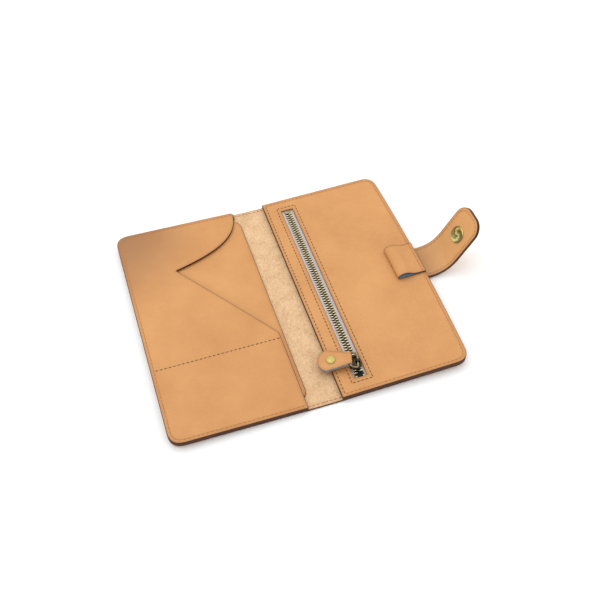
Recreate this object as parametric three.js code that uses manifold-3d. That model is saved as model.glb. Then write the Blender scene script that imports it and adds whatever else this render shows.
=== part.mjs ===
// A long two-fold leather wallet, lying open: card pockets on the left half, a zipped pocket and a pen loop
// on the right half, and a snap strap that curls up from the right fore-edge.
// Millimetres, +Z up. The origin is the centre of the spine's outer face, +Y runs along the spine towards the
// far edge, and +X points across the right half. Both halves are drawn flat, then tilted up about their
// folds.
import * as THREE from 'three';
import { mergeVertices } from 'three/addons/utils/BufferGeometryUtils.js';
import Module from 'manifold-3d';

const wasm = await Module();
wasm.setup();

// Driving dimensions
const LENGTH = 200; // along the spine
const HALF_WIDTH = 113; // from the spine's centre to a fore-edge
const FORE_EDGE_BOW = 1.9; // the right fore-edge is slightly convex
const CORNER_RADIUS = 11;
const FOLD_X = 8.5; // each fold line's distance from the spine's centre
const TILT_LEFT = THREE.MathUtils.degToRad(1.304); // the snap stud lifts the left half
const TILT_RIGHT = THREE.MathUtils.degToRad(1.804); // the strap's root lifts the right half
const LEATHER = 1.5;
const POCKET_LEATHER = 1.2;
const LAYER_GAP = 0.15;
const SPLIT_GAP = 0.1; // where one piece of leather is split at a hinge
const SEAM_INSET = 2.5; // from a cut edge to its row of stitches
const THREAD_WIDTH = 0.6;
const THREAD_HEIGHT = 0.3;
const GUSSET_WIDTH = 6.5;
const LEFT_PANEL_X = 13.1; // the front card panel's edge beside the spine
const UNDER_PANEL_X = 10; // the card panel below it reaches further
const UNDER_PANEL_HALF = 91.5;
const NOTCH = [73.2, 51.2]; // the point of the front panel's cut-out
const DIAGONAL_END_Y = -30.5;
const DIVIDER_Y = -36.8;
const ZIP_PANEL_X = 13;
const ZIP_X = 31.4; // centre line of the zip
const WINDOW_HALF_WIDTH = 4.9;
const WINDOW_HALF_LENGTH = 87.6;
const WINDOW_SEAM_HALF_WIDTH = 8;
const WINDOW_SEAM_HALF_LENGTH = 91;
const TOOTH_PITCH = 2.43;
const TOOTH_LENGTH = 0.95;
const CHAIN_HALF_WIDTH = 2.9;
const SLIDER_Y = -75;
const PULL_YAW = THREE.MathUtils.degToRad(16); // the puller lies askew, over the spine
const LINK_OFFSET = 2.2; // from the slider's middle to the wire that its bridge holds
const LINK_PIVOT = 1.4; // that wire's height above the slider
const LINK_LEAN = THREE.MathUtils.degToRad(28); // above the panel, towards the spine
const LINK_WIDTH = 12.4; // between wire centres
const LINK_HEIGHT = 7.1;
const LINK_BEND = 1.15; // radius of the link's corners
const LINK_WIRE = 0.65; // radius
const TAB_DROOP = THREE.MathUtils.degToRad(8);
const TAB_LENGTH = 23.7;
const TAB_RADIUS = 9.3;
const TAB_NECK = 9.6;
const TAB_LAYER = 1.3;
const TAB_EYE_LAYER = 0.9; // thinner where it folds round the link
const RIVET_X = TAB_RADIUS - TAB_LENGTH + 0.9; // from the link's upper wire
const LOOP_CENTRE_Y = 1.5;
const LOOP_LENGTH = 31;
const LOOP_LEATHER = 0.9;
const STRAP_WIDTH = 30.8;
const STRAP_LENGTH = 62; // free length beyond the fore-edge
const STRAP_LAYER = 1.2;
const STRAP_END_RADIUS = 11;
const STRAP_START_X = 116.2;
const STRAP_ANCHOR_X = 99; // where the sewn root ends under the cover
const STRAP_BEND = 22; // distance along the strap of its second bend
const STRAP_CURL = THREE.MathUtils.degToRad(59.5);
const STRAP_CURL_LENGTH = 31;
const STRAP_ROOT_BACK = THREE.MathUtils.degToRad(8); // how far each hinge bends back from rest
const STRAP_BEND_BACK = THREE.MathUtils.degToRad(25);
const STRAP_THREAD_GAP = 0.6; // the stitches stop this far from a hinge
const SNAP_AT = 40.5; // distance along the strap
const SNAP_RADIUS = 6.75;
const STUD_X = 102.6; // meets the socket when the wallet is shut and strapped

// Heights of the layers above each half's outer face
const COVER_TOP = LEATHER;
const GUSSET_LOW = COVER_TOP + LAYER_GAP;
const LEFT_FRONT_LOW = GUSSET_LOW + POCKET_LEATHER + LAYER_GAP;
const LEFT_TOP = LEFT_FRONT_LOW + LEATHER;
const LINING = 0.25;
const RIGHT_GUSSET_LOW = GUSSET_LOW + LINING + LAYER_GAP;
const TAPE_LOW = 2.85;
const TAPE = 0.4;
const ZIP_PANEL_LOW = TAPE_LOW + TAPE + LAYER_GAP;
const RIGHT_TOP = ZIP_PANEL_LOW + LEATHER;
const TEETH_LOW = 2.6;
const TEETH_TOP = 4.4;

// Colours and surfaces
const material = (color, roughness, metalness = 0) =>
  new THREE.MeshStandardMaterial({ color, roughness, metalness });
const TAN = material(0xe0a76b, 0.55);
const SUEDE = material(0xe3bf92, 0.9);
const EDGE = material(0x4a2d1e, 0.6);
const THREAD = material(0x7a4a2f, 0.8);
const TAPE_CLOTH = material(0xc8bcb0, 0.9);
const BLUE_CLOTH = material(0x4d7fb0, 0.85);
const TOOTH_BRASS = material(0xb9a066, 0.35, 1);
const BRIGHT_BRASS = material(0xc8b45a, 0.25, 1);
const DARK_BRASS = material(0x5d5340, 0.4, 1);

const HALF_LENGTH = LENGTH / 2;

// ---- General helpers -------------------------------------------------------------------------------------

function solid(geometry) {
  const bare = geometry.index ? geometry.toNonIndexed() : geometry.clone();
  bare.deleteAttribute('normal');
  bare.deleteAttribute('uv');
  const merged = mergeVertices(bare, 1e-4);
  return new wasm.Manifold(
    new wasm.Mesh({
      numProp: 3,
      vertProperties: new Float32Array(merged.attributes.position.array),
      triVerts: new Uint32Array(merged.index.array),
    }),
  );
}

function geometryOf(manifold) {
  const mesh = manifold.getMesh();
  const geometry = new THREE.BufferGeometry();
  geometry.setAttribute('position', new THREE.BufferAttribute(mesh.vertProperties, 3));
  geometry.setIndex(new THREE.BufferAttribute(mesh.triVerts, 1));
  return geometry;
}

const cut = (geometry, ...tools) =>
  geometryOf(tools.reduce((body, tool) => body.subtract(solid(tool)), solid(geometry)));
const join = (geometry, ...others) =>
  geometryOf(others.reduce((body, other) => body.add(solid(other)), solid(geometry)));

function named(name, geometry, look) {
  const mesh = new THREE.Mesh(geometry, look);
  mesh.name = name;
  return mesh;
}

// A flat piece cut from an outline in X and Y, standing from low to low + thickness.
function plate(outline, low, thickness, curveSegments = 6) {
  const settings = { depth: thickness, bevelEnabled: false, curveSegments };
  return new THREE.ExtrudeGeometry(outline, settings).translate(0, 0, low);
}

// A piece whose outline is in X and Z, running along Y from back to back + length.
function section(outline, back, length, curveSegments = 8) {
  const settings = { depth: length, bevelEnabled: false, curveSegments };
  return new THREE.ExtrudeGeometry(outline, settings).rotateX(Math.PI / 2).translate(0, back + length, 0);
}

function box(xLow, xHigh, yLow, yHigh, zLow, zHigh) {
  const geometry = new THREE.BoxGeometry(xHigh - xLow, yHigh - yLow, zHigh - zLow);
  return geometry.translate((xLow + xHigh) / 2, (yLow + yHigh) / 2, (zLow + zHigh) / 2);
}

// A turned piece on the Z axis from its closed radius and height profile.
const turned = (profile, sides = 20) =>
  new THREE.LatheGeometry(profile.map(([r, z]) => new THREE.Vector2(r, z)), sides).rotateX(Math.PI / 2);

function hole(x, y, radius) {
  return new THREE.CylinderGeometry(radius, radius, 20, 16).rotateX(Math.PI / 2).translate(x, y, 0);
}

function rectangle(xLow, xHigh, yLow, yHigh) {
  const shape = new THREE.Shape();
  shape.moveTo(xLow, yLow).lineTo(xHigh, yLow).lineTo(xHigh, yHigh).lineTo(xLow, yHigh).closePath();
  return shape;
}

// A half's outline: square beside the spine, round corners at the fore-edge. side is 1 on the right and
// -1 on the left.
function halfOutline(side, innerX, inset = 0) {
  const end = HALF_LENGTH - inset;
  const outer = HALF_WIDTH - inset;
  const radius = CORNER_RADIUS - inset;
  const bow = side > 0 ? FORE_EDGE_BOW : 0;
  const shape = new THREE.Shape();
  shape.moveTo(side * innerX, -end);
  shape.lineTo(side * (outer - radius), -end);
  shape.quadraticCurveTo(side * outer, -end, side * outer, radius - end);
  shape.quadraticCurveTo(side * (outer + 2 * bow), 0, side * outer, end - radius);
  shape.quadraticCurveTo(side * outer, end, side * (outer - radius), end);
  shape.lineTo(side * innerX, end);
  return shape.closePath();
}

// A row of stitches that follows a closed outline, drawn as a flat ring.
function seamRing(outer, inner, low) {
  outer.holes.push(inner);
  return plate(outer, low, THREAD_HEIGHT);
}

// Each half's pieces go into a group that tilts them up about their fold.
function tiltedHalf(side, tilt) {
  const fold = new THREE.Group();
  fold.position.set(side * FOLD_X, 0, COVER_TOP);
  fold.rotation.y = -side * tilt;
  const flat = new THREE.Group();
  flat.position.set(-side * FOLD_X, 0, -COVER_TOP);
  fold.add(flat);
  return { fold, flat };
}

// ---- Left half: cover, card pockets, snap stud -----------------------------------------------------------

function coverLeft() {
  const radius = 4.3;
  const depth = 0.8;
  const above = 0.2;
  const counterbore = new THREE.CylinderGeometry(radius, radius, depth + above, 20);
  counterbore.rotateX(Math.PI / 2).translate(-STUD_X, 0, COVER_TOP + (above - depth) / 2);
  return cut(plate(halfOutline(-1, FOLD_X), 0, LEATHER), hole(-STUD_X, 0, 1.6), counterbore);
}

// A strip sewn between the cover and the front panel along three edges. It gives the pocket its depth.
function cardGusset() {
  const opening = halfOutline(-1, LEFT_PANEL_X - 1, GUSSET_WIDTH);
  return cut(
    plate(halfOutline(-1, LEFT_PANEL_X), GUSSET_LOW, POCKET_LEATHER),
    plate(opening, GUSSET_LOW - 1, POCKET_LEATHER + 2),
  );
}

function cardPanelUnder() {
  const outer = HALF_WIDTH - GUSSET_WIDTH - 1;
  const radius = 9;
  const end = UNDER_PANEL_HALF;
  const shape = new THREE.Shape();
  shape.moveTo(-outer, -end);
  shape.lineTo(-(UNDER_PANEL_X + radius), -end);
  shape.quadraticCurveTo(-UNDER_PANEL_X, -end, -UNDER_PANEL_X, radius - end);
  shape.lineTo(-UNDER_PANEL_X, end - radius);
  shape.quadraticCurveTo(-UNDER_PANEL_X, end, -(UNDER_PANEL_X + radius), end);
  shape.lineTo(-outer, end);
  return plate(shape.closePath(), GUSSET_LOW, POCKET_LEATHER);
}

// The front panel has a rounded flap above a pointed cut-out, and a straight slant below it.
function cardPanelFront() {
  const outer = HALF_WIDTH;
  const radius = CORNER_RADIUS;
  const end = HALF_LENGTH;
  const shape = new THREE.Shape();
  shape.moveTo(-LEFT_PANEL_X, -end);
  shape.lineTo(-LEFT_PANEL_X, DIAGONAL_END_Y - 2.5);
  shape.quadraticCurveTo(-LEFT_PANEL_X, DIAGONAL_END_Y, -(LEFT_PANEL_X + 1.5), DIAGONAL_END_Y + 2.2);
  shape.lineTo(-NOTCH[0], NOTCH[1]);
  shape.bezierCurveTo(-38, 60, -15.5, 72, -(LEFT_PANEL_X + 0.5), end - 2);
  shape.quadraticCurveTo(-(LEFT_PANEL_X + 0.6), end, -(LEFT_PANEL_X + 2.6), end);
  shape.lineTo(radius - outer, end);
  shape.quadraticCurveTo(-outer, end, -outer, end - radius);
  shape.lineTo(-outer, radius - end);
  shape.quadraticCurveTo(-outer, -end, radius - outer, -end);
  return plate(shape.closePath(), LEFT_FRONT_LOW, LEATHER, 12);
}

function threadLeftEdge() {
  const outline = halfOutline(-1, LEFT_PANEL_X + 3, SEAM_INSET);
  const inside = halfOutline(-1, LEFT_PANEL_X + 2, SEAM_INSET + THREAD_WIDTH);
  return cut(
    plate(outline, LEFT_TOP + LAYER_GAP, THREAD_HEIGHT),
    plate(inside, LEFT_TOP - 1, THREAD_HEIGHT + 3),
  );
}

function threadDivider() {
  const outline = rectangle(
    -(HALF_WIDTH - SEAM_INSET - 1.5), -(LEFT_PANEL_X + 1), DIVIDER_Y, DIVIDER_Y + THREAD_WIDTH,
  );
  return plate(outline, LEFT_TOP + LAYER_GAP, THREAD_HEIGHT);
}

// A low flange with a waisted stud that the strap's socket snaps over.
function snapStud() {
  const head = [[0, -2], [1.5, -2], [1.95, -1.6], [1.4, -1.25]];
  const flange = [[1.4, -0.5], [5, -0.35], [5, -0.2], [0, -0.2]];
  return turned([...head, ...flange]).translate(-STUD_X, 0, 0);
}

const snapStudPost = () =>
  turned([[0, -0.05], [1.3, -0.05], [1.3, 0.85], [4, 0.85], [4, 1.3], [0, 1.3]]).translate(-STUD_X, 0, 0);

function leftHalf() {
  const half = tiltedHalf(-1, TILT_LEFT);
  half.flat.add(
    named('cover_left', coverLeft(), TAN),
    named('card_pocket_gusset', cardGusset(), EDGE),
    named('card_panel_under', cardPanelUnder(), TAN),
    named('card_panel_front', cardPanelFront(), TAN),
    named('thread_left_edge', threadLeftEdge(), THREAD),
    named('thread_divider', threadDivider(), THREAD),
    named('snap_stud', snapStud(), BRIGHT_BRASS),
    named('snap_stud_post', snapStudPost(), BRIGHT_BRASS),
  );
  return half.fold;
}

// ---- Spine -----------------------------------------------------------------------------------------------

function spine() {
  const group = new THREE.Group();
  const halfWidth = FOLD_X - SPLIT_GAP;
  const cover = box(-halfWidth, halfWidth, -HALF_LENGTH, HALF_LENGTH, 0, LEATHER);
  group.add(named('cover_spine', cover, SUEDE));
  for (const [name, side] of [['thread_spine_near', -1], ['thread_spine_far', 1]]) {
    const middle = side * (HALF_LENGTH - SEAM_INSET);
    const strand = box(
      0.4 - halfWidth, halfWidth - 0.4, middle - THREAD_WIDTH / 2, middle + THREAD_WIDTH / 2,
      COVER_TOP + LAYER_GAP, COVER_TOP + LAYER_GAP + THREAD_HEIGHT,
    );
    group.add(named(name, strand, THREAD));
  }
  return group;
}

// ---- Right half: cover, zipped pocket, pen loop ----------------------------------------------------------

const coverRight = () => plate(halfOutline(1, FOLD_X), 0, LEATHER);
const zipPocketLining = () => plate(halfOutline(1, ZIP_PANEL_X + 1, 1), GUSSET_LOW, LINING);

function zipPocketGusset() {
  const frame = halfOutline(1, ZIP_PANEL_X);
  frame.holes.push(halfOutline(1, ZIP_PANEL_X + GUSSET_WIDTH, GUSSET_WIDTH));
  return plate(frame, RIGHT_GUSSET_LOW, POCKET_LEATHER);
}

function zipPanel() {
  const outline = halfOutline(1, ZIP_PANEL_X);
  outline.holes.push(rectangle(
    ZIP_X - WINDOW_HALF_WIDTH, ZIP_X + WINDOW_HALF_WIDTH, -WINDOW_HALF_LENGTH, WINDOW_HALF_LENGTH,
  ));
  return plate(outline, ZIP_PANEL_LOW, LEATHER);
}

// The seam round the zip panel. It stops at the pen loop, where the same thread crosses on top of the loop.
function threadRightEdge() {
  const ring = seamRing(
    halfOutline(1, ZIP_PANEL_X + SEAM_INSET, SEAM_INSET),
    halfOutline(1, ZIP_PANEL_X + SEAM_INSET + THREAD_WIDTH, SEAM_INSET + THREAD_WIDTH),
    RIGHT_TOP + LAYER_GAP,
  );
  const half = LOOP_LENGTH / 2 + 0.4;
  return cut(ring, box(100, 120, LOOP_CENTRE_Y - half, LOOP_CENTRE_Y + half, 0, 10));
}

function threadPenLoop() {
  const half = LOOP_LENGTH / 2 - 1;
  const middle = HALF_WIDTH + FORE_EDGE_BOW - SEAM_INSET - THREAD_WIDTH;
  const low = RIGHT_TOP + 2.2 + LAYER_GAP;
  return box(
    middle, middle + THREAD_WIDTH, LOOP_CENTRE_Y - half, LOOP_CENTRE_Y + half, low, low + THREAD_HEIGHT,
  );
}

function threadZipWindow() {
  const ring = (grow) => rectangle(
    ZIP_X - WINDOW_SEAM_HALF_WIDTH - grow, ZIP_X + WINDOW_SEAM_HALF_WIDTH + grow,
    -WINDOW_SEAM_HALF_LENGTH - grow, WINDOW_SEAM_HALF_LENGTH + grow,
  );
  return seamRing(ring(THREAD_WIDTH / 2), ring(-THREAD_WIDTH / 2), RIGHT_TOP + LAYER_GAP);
}

function zipTape(side) {
  const near = ZIP_X + side * (CHAIN_HALF_WIDTH + 0.2);
  const far = ZIP_X + side * 11.5;
  const end = WINDOW_SEAM_HALF_LENGTH + 1.5;
  return box(Math.min(near, far), Math.max(near, far), -end, end, TAPE_LOW, TAPE_LOW + TAPE);
}

// One side of the chain: teeth on a strip along the tape's edge, half a pitch apart from the other side's.
function zipTeeth(side) {
  const end = WINDOW_HALF_LENGTH - 2.5;
  const outer = ZIP_X + side * CHAIN_HALF_WIDTH;
  const root = ZIP_X + side * (CHAIN_HALF_WIDTH - 0.9);
  const tip = ZIP_X + side * 0.4;
  const count = Math.floor((2 * end - TOOTH_PITCH) / TOOTH_PITCH);
  const first = -(count * TOOTH_PITCH) / 2 + (side > 0 ? TOOTH_PITCH / 2 : 0);
  const shape = new THREE.Shape();
  shape.moveTo(outer, -end);
  shape.lineTo(root, -end);
  for (let n = 0; n < count; n += 1) {
    const low = first + n * TOOTH_PITCH;
    shape.lineTo(root, low);
    shape.lineTo(tip, low + 0.1);
    shape.lineTo(tip, low + TOOTH_LENGTH - 0.1);
    shape.lineTo(root, low + TOOTH_LENGTH);
  }
  shape.lineTo(root, end);
  shape.lineTo(outer, end);
  return plate(shape.closePath(), TEETH_LOW, TEETH_TOP - TEETH_LOW);
}

// The two stops at the near end, and the one that holds both sides together at the far end.
function zipStop(xLow, xHigh, yLow) {
  return box(xLow, xHigh, yLow, yLow + 2, TEETH_LOW, TEETH_TOP);
}

// A strip of leather folded back on itself, with a drop-shaped tunnel for a pen.
function penLoop() {
  const low = RIGHT_TOP + 0.2;
  const outerRadius = 3.6;
  const innerRadius = outerRadius - LOOP_LEATHER;
  const foldX = 94.8;
  const middle = low + outerRadius;
  const outerTop = middle + outerRadius;
  const innerTop = middle + innerRadius;
  const edge = HALF_WIDTH + 0.9;
  const outline = new THREE.Shape();
  outline.moveTo(edge, low);
  outline.lineTo(edge, low + 2);
  outline.lineTo(foldX + 14, low + 2);
  outline.bezierCurveTo(foldX + 8.5, low + 2.1, foldX + 5.5, outerTop, foldX, outerTop);
  outline.absarc(foldX, middle, outerRadius, Math.PI / 2, 1.5 * Math.PI, false);
  outline.closePath();
  const tunnel = new THREE.Path();
  tunnel.absarc(foldX, middle, innerRadius, -Math.PI / 2, Math.PI / 2, true);
  tunnel.bezierCurveTo(foldX + 5, innerTop, foldX + 7.5, low + 1.3, foldX + 12, low + LOOP_LEATHER);
  tunnel.closePath();
  outline.holes.push(tunnel);
  return section(outline, LOOP_CENTRE_Y - LOOP_LENGTH / 2, LOOP_LENGTH);
}

// ---- Zip slider, link and pull tab -----------------------------------------------------------------------

const SLIDER_LOW = TEETH_TOP + 0.3;
const SLIDER_TOP = SLIDER_LOW + 1.1;

// Upper plate with side walls above the tapes, a thin web between the rows of teeth, and a lower plate.
function sliderBody() {
  const near = SLIDER_Y - 5.5;
  const far = SLIDER_Y + 5.5;
  const plan = new THREE.Shape();
  plan.moveTo(ZIP_X - 2.4, near);
  plan.lineTo(ZIP_X + 2.4, near);
  plan.quadraticCurveTo(ZIP_X + 4.2, near + 0.5, ZIP_X + 4.2, near + 3);
  plan.lineTo(ZIP_X + 3.6, far - 1);
  plan.quadraticCurveTo(ZIP_X + 3.4, far, ZIP_X + 2.4, far);
  plan.lineTo(ZIP_X - 2.4, far);
  plan.quadraticCurveTo(ZIP_X - 3.4, far, ZIP_X - 3.6, far - 1);
  plan.lineTo(ZIP_X - 4.2, near + 3);
  plan.quadraticCurveTo(ZIP_X - 4.2, near + 0.5, ZIP_X - 2.4, near);
  const top = plate(plan, SLIDER_LOW, SLIDER_TOP - SLIDER_LOW);
  const walls = [-1, 1].map((side) => {
    const middle = ZIP_X + side * 3.45;
    return box(middle - 0.25, middle + 0.25, near + 2.6, far - 1.2, TAPE_LOW + TAPE + 0.2, SLIDER_LOW + 0.3);
  });
  const web = box(ZIP_X - 0.15, ZIP_X + 0.15, near + 1, near + 4, 2.1, SLIDER_LOW + 0.3);
  const under = box(ZIP_X - 3.6, ZIP_X + 3.6, near + 0.5, far - 0.5, 2.08, 2.42);
  return cut(join(top, ...walls, web, under), hole(ZIP_X, SLIDER_Y, 1.2));
}

// An arch on a round foot that turns on the slider, drawn from the slider's upper face up. The link's wire
// runs through the arch along Y.
function sliderBridge() {
  const outer = 1.8;
  const inner = 1.1;
  const low = 0.2;
  const arch = new THREE.Shape();
  arch.moveTo(-outer, low);
  arch.lineTo(-outer, LINK_PIVOT);
  arch.absarc(0, LINK_PIVOT, outer, Math.PI, 0, true);
  arch.lineTo(outer, low);
  arch.lineTo(inner, low);
  arch.lineTo(inner, LINK_PIVOT);
  arch.absarc(0, LINK_PIVOT, inner, 0, Math.PI, false);
  arch.lineTo(-inner, low);
  const foot = turned([[0, -0.8], [0.9, -0.8], [0.9, 0.12], [4, 0.12], [4, 0.5], [0, 0.5]], 24);
  return join(foot, section(arch.closePath(), -1.2, 2.4).translate(LINK_OFFSET, 0, 0));
}

// A closed wire loop: a round section swept along a rounded rectangle that stands from the pivot up.
function pullLink() {
  const bend = LINK_BEND;
  const corners = [[-1, 0], [1, 0], [1, 1], [-1, 1]];
  const stations = [];
  corners.forEach(([acrossSign, upSign], index) => {
    const centreAcross = acrossSign * (LINK_WIDTH / 2 - bend);
    const centreUp = upSign ? LINK_HEIGHT - bend : bend;
    for (let step = 0; step <= 4; step += 1) {
      const turn = Math.PI + (index + step / 4) * (Math.PI / 2);
      stations.push({ centreAcross, centreUp, turn });
    }
  });
  const sides = 8;
  const positions = [];
  const triangles = [];
  stations.forEach(({ centreAcross, centreUp, turn }, ring) => {
    for (let side = 0; side < sides; side += 1) {
      const round = (side / sides) * 2 * Math.PI;
      const reach = bend + LINK_WIRE * Math.cos(round);
      positions.push(
        LINK_WIRE * Math.sin(round),
        centreAcross + reach * Math.cos(turn),
        centreUp + reach * Math.sin(turn),
      );
      const next = (ring + 1) % stations.length;
      const a = ring * sides + side;
      const b = ring * sides + ((side + 1) % sides);
      const c = next * sides + ((side + 1) % sides);
      const d = next * sides + side;
      triangles.push(a, c, b, a, d, c);
    }
  });
  const geometry = new THREE.BufferGeometry();
  geometry.setAttribute('position', new THREE.Float32BufferAttribute(positions, 3));
  geometry.setIndex(triangles);
  return geometry;
}

// The tab is one strip folded round the link's upper wire: two layers with a slit between them.
function pullTab() {
  const halfSlit = 0.1;
  const half = halfSlit + TAB_LAYER;
  const bore = LINK_WIRE + 0.35;
  const eye = bore + TAB_EYE_LAYER;
  const end = -TAB_LENGTH - 1;
  const joinAngle = Math.asin(half / eye);
  const slitAngle = Math.asin(halfSlit / bore);
  const fold = new THREE.Shape();
  fold.moveTo(end, half);
  fold.lineTo(-eye * Math.cos(joinAngle), half);
  fold.absarc(0, 0, eye, Math.PI - joinAngle, joinAngle - Math.PI, true);
  fold.lineTo(end, -half);
  fold.lineTo(end, -halfSlit);
  fold.lineTo(-bore * Math.cos(slitAngle), -halfSlit);
  fold.absarc(0, 0, bore, slitAngle - Math.PI, Math.PI - slitAngle, false);
  fold.lineTo(end, halfSlit);
  const centre = TAB_RADIUS - TAB_LENGTH;
  const plan = new THREE.Shape();
  const touch = Math.acos((TAB_RADIUS - TAB_NECK / 2) / -centre);
  plan.moveTo(eye + 0.5, -TAB_NECK / 2);
  plan.lineTo(eye + 0.5, TAB_NECK / 2);
  plan.absarc(centre, 0, TAB_RADIUS, touch - 0.2, 0.2 - touch + 2 * Math.PI, false);
  const strip = solid(section(fold.closePath(), -TAB_RADIUS - 1, 2 * TAB_RADIUS + 2));
  const tab = geometryOf(strip.intersect(solid(plate(plan.closePath(), -5, 10, 12))));
  return cut(tab, hole(RIVET_X, 0, 1.5));
}

const rivetCap = () =>
  turned([[0, 0.6], [1.2, 0.6], [1.2, 1.55], [3.5, 1.55], [3.3, 2.2], [1.8, 2.6], [0, 2.7]]);
const rivetBase = () =>
  turned([[0, -2.4], [3, -2.2], [3.2, -1.55], [1.2, -1.55], [1.2, 0.4], [0, 0.4]]);

// The bridge, the link and the tab hang together above the slider.
function puller() {
  const swivel = new THREE.Group();
  swivel.position.set(ZIP_X, SLIDER_Y, SLIDER_TOP);
  swivel.rotation.z = -PULL_YAW;
  const link = new THREE.Group();
  link.position.set(LINK_OFFSET, 0, LINK_PIVOT);
  link.rotation.y = LINK_LEAN - Math.PI / 2;
  const tab = new THREE.Group();
  tab.position.z = LINK_HEIGHT;
  tab.rotation.y = Math.PI / 2 - LINK_LEAN - TAB_DROOP;
  const rivet = new THREE.Group();
  rivet.position.x = RIVET_X;
  rivet.add(named('tab_rivet_cap', rivetCap(), BRIGHT_BRASS));
  rivet.add(named('tab_rivet_base', rivetBase(), BRIGHT_BRASS));
  tab.add(named('pull_tab', pullTab(), TAN), rivet);
  link.add(named('pull_link', pullLink(), DARK_BRASS), tab);
  swivel.add(named('slider_bridge', sliderBridge(), DARK_BRASS), link);
  return swivel;
}

// ---- Snap strap ------------------------------------------------------------------------------------------

// The strap's inner face seen from its side: how steeply it climbs at a distance along it.
const climb = (along) => STRAP_CURL * THREE.MathUtils.smoothstep(along, 0, STRAP_CURL_LENGTH);

// The point at a distance along the strap's inner face, and the direction out of that face.
function strapPoint(along) {
  const steps = 200;
  const step = along / steps;
  const point = new THREE.Vector2(STRAP_START_X, -LAYER_GAP);
  for (let n = 0; n < steps; n += 1) {
    const angle = climb((n + 0.5) * step);
    point.x += step * Math.cos(angle);
    point.y += step * Math.sin(angle);
  }
  const angle = climb(along);
  return { point, normal: new THREE.Vector2(-Math.sin(angle), Math.cos(angle)), angle };
}

// Half the strap's width at a distance along it: straight, then rounded corners and a short straight end.
function strapHalfWidth(along, inset) {
  const radius = STRAP_END_RADIUS - inset;
  const past = Math.max(0, along - (STRAP_LENGTH - STRAP_END_RADIUS));
  const chord = Math.sqrt(Math.max(0, radius * radius - past * past));
  return STRAP_WIDTH / 2 - STRAP_END_RADIUS + chord;
}

// One layer of the strap: a ring of four corners at each station, joined to the next. reach gives the lowest
// and highest Y at a distance along the strap.
function strapLayer(stations, high, low, reach = acrossStrap(0)) {
  const positions = [];
  const triangles = [];
  stations.forEach((along, ring) => {
    const { point, normal } = strapPoint(along);
    const [near, far] = reach(along);
    for (const [y, offset] of [[near, low], [far, low], [far, high], [near, high]]) {
      positions.push(point.x + normal.x * offset, y, point.y + normal.y * offset);
    }
    if (ring === 0) return;
    for (let side = 0; side < 4; side += 1) {
      const a = (ring - 1) * 4 + side;
      const b = (ring - 1) * 4 + ((side + 1) % 4);
      triangles.push(a, b, b + 4, a, b + 4, a + 4);
    }
  });
  const last = (stations.length - 1) * 4;
  triangles.push(0, 2, 1, 0, 3, 2, last, last + 1, last + 2, last, last + 2, last + 3);
  const geometry = new THREE.BufferGeometry();
  geometry.setAttribute('position', new THREE.Float32BufferAttribute(positions, 3));
  geometry.setIndex(triangles);
  return geometry;
}

function evenly(from, to, count) {
  return Array.from({ length: count + 1 }, (_, n) => from + ((to - from) * n) / count);
}

// The full width of the strap, or all of it inside a margin.
function acrossStrap(inset) {
  return (along) => [-strapHalfWidth(along, inset), strapHalfWidth(along, inset)];
}

// A layer that starts at a hinge starts later the deeper it lies, so that the strap can bend back.
const roomFor = (depth, bendBack) => SPLIT_GAP + depth * Math.tan(bendBack) + 0.05;

const baseStations = (start, end = STRAP_BEND - SPLIT_GAP) => evenly(start, end, 9);

function tipStations(start, inset = 0) {
  const radius = STRAP_END_RADIUS - inset;
  const roundEnd = evenly(0, Math.PI / 2, 8);
  return [
    ...evenly(start, STRAP_CURL_LENGTH, 4),
    ...roundEnd.map((turn) => STRAP_LENGTH - STRAP_END_RADIUS + radius * Math.sin(turn)),
  ];
}

const INNER_LOW = -STRAP_LAYER;
const OUTER_HIGH = INNER_LOW - LAYER_GAP;
const OUTER_LOW = OUTER_HIGH - STRAP_LAYER;
const BASE_LINING_START = roomFor(-INNER_LOW, STRAP_ROOT_BACK);
const BASE_OUTER_START = roomFor(-OUTER_LOW, STRAP_ROOT_BACK);
const TIP_LINING_START = STRAP_BEND + roomFor(-INNER_LOW, STRAP_BEND_BACK);
const TIP_OUTER_START = STRAP_BEND + roomFor(-OUTER_LOW, STRAP_BEND_BACK);

// Moves a piece drawn round the Z axis onto the strap, with Z out of the strap's inner face.
function onSnap(geometry) {
  const { point, angle } = strapPoint(SNAP_AT);
  return geometry.rotateY(-angle).translate(point.x, 0, point.y);
}

const snapHole = () => onSnap(new THREE.CylinderGeometry(2.2, 2.2, 10, 16).rotateX(Math.PI / 2));

const snapSocket = () => onSnap(turned([
  [2.6, 0.15], [SNAP_RADIUS, 0.15], [SNAP_RADIUS, 0.5], [SNAP_RADIUS - 0.8, 0.7], [2.6, 0.5], [2.6, 0.15],
], 24));

// A domed cap under the outer face, with a post up through both layers.
function snapCap() {
  const top = OUTER_LOW - 0.15;
  const dome = [[0, top - 1.35], [3.5, top - 1.15], [SNAP_RADIUS, top - 0.45], [SNAP_RADIUS, top]];
  const post = [[1.9, top], [1.9, -0.9], [0, -0.9]];
  return onSnap(turned([...dome, ...post], 24));
}

// The root lies flat under the right cover, where it is sewn on.
function strapAnchor(low, high) {
  const end = STRAP_START_X - SPLIT_GAP;
  return box(STRAP_ANCHOR_X, end, -STRAP_WIDTH / 2, STRAP_WIDTH / 2, low, high);
}

const THREAD_LOW = LAYER_GAP;
const THREAD_HIGH = LAYER_GAP + THREAD_HEIGHT;

function threadStrapBase(side) {
  const outer = STRAP_WIDTH / 2 - SEAM_INSET;
  const edges = [side * outer, side * (outer - THREAD_WIDTH)].sort((a, b) => a - b);
  const stations = baseStations(STRAP_THREAD_GAP, STRAP_BEND - STRAP_THREAD_GAP);
  return strapLayer(stations, THREAD_HIGH, THREAD_LOW, () => edges);
}

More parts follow.
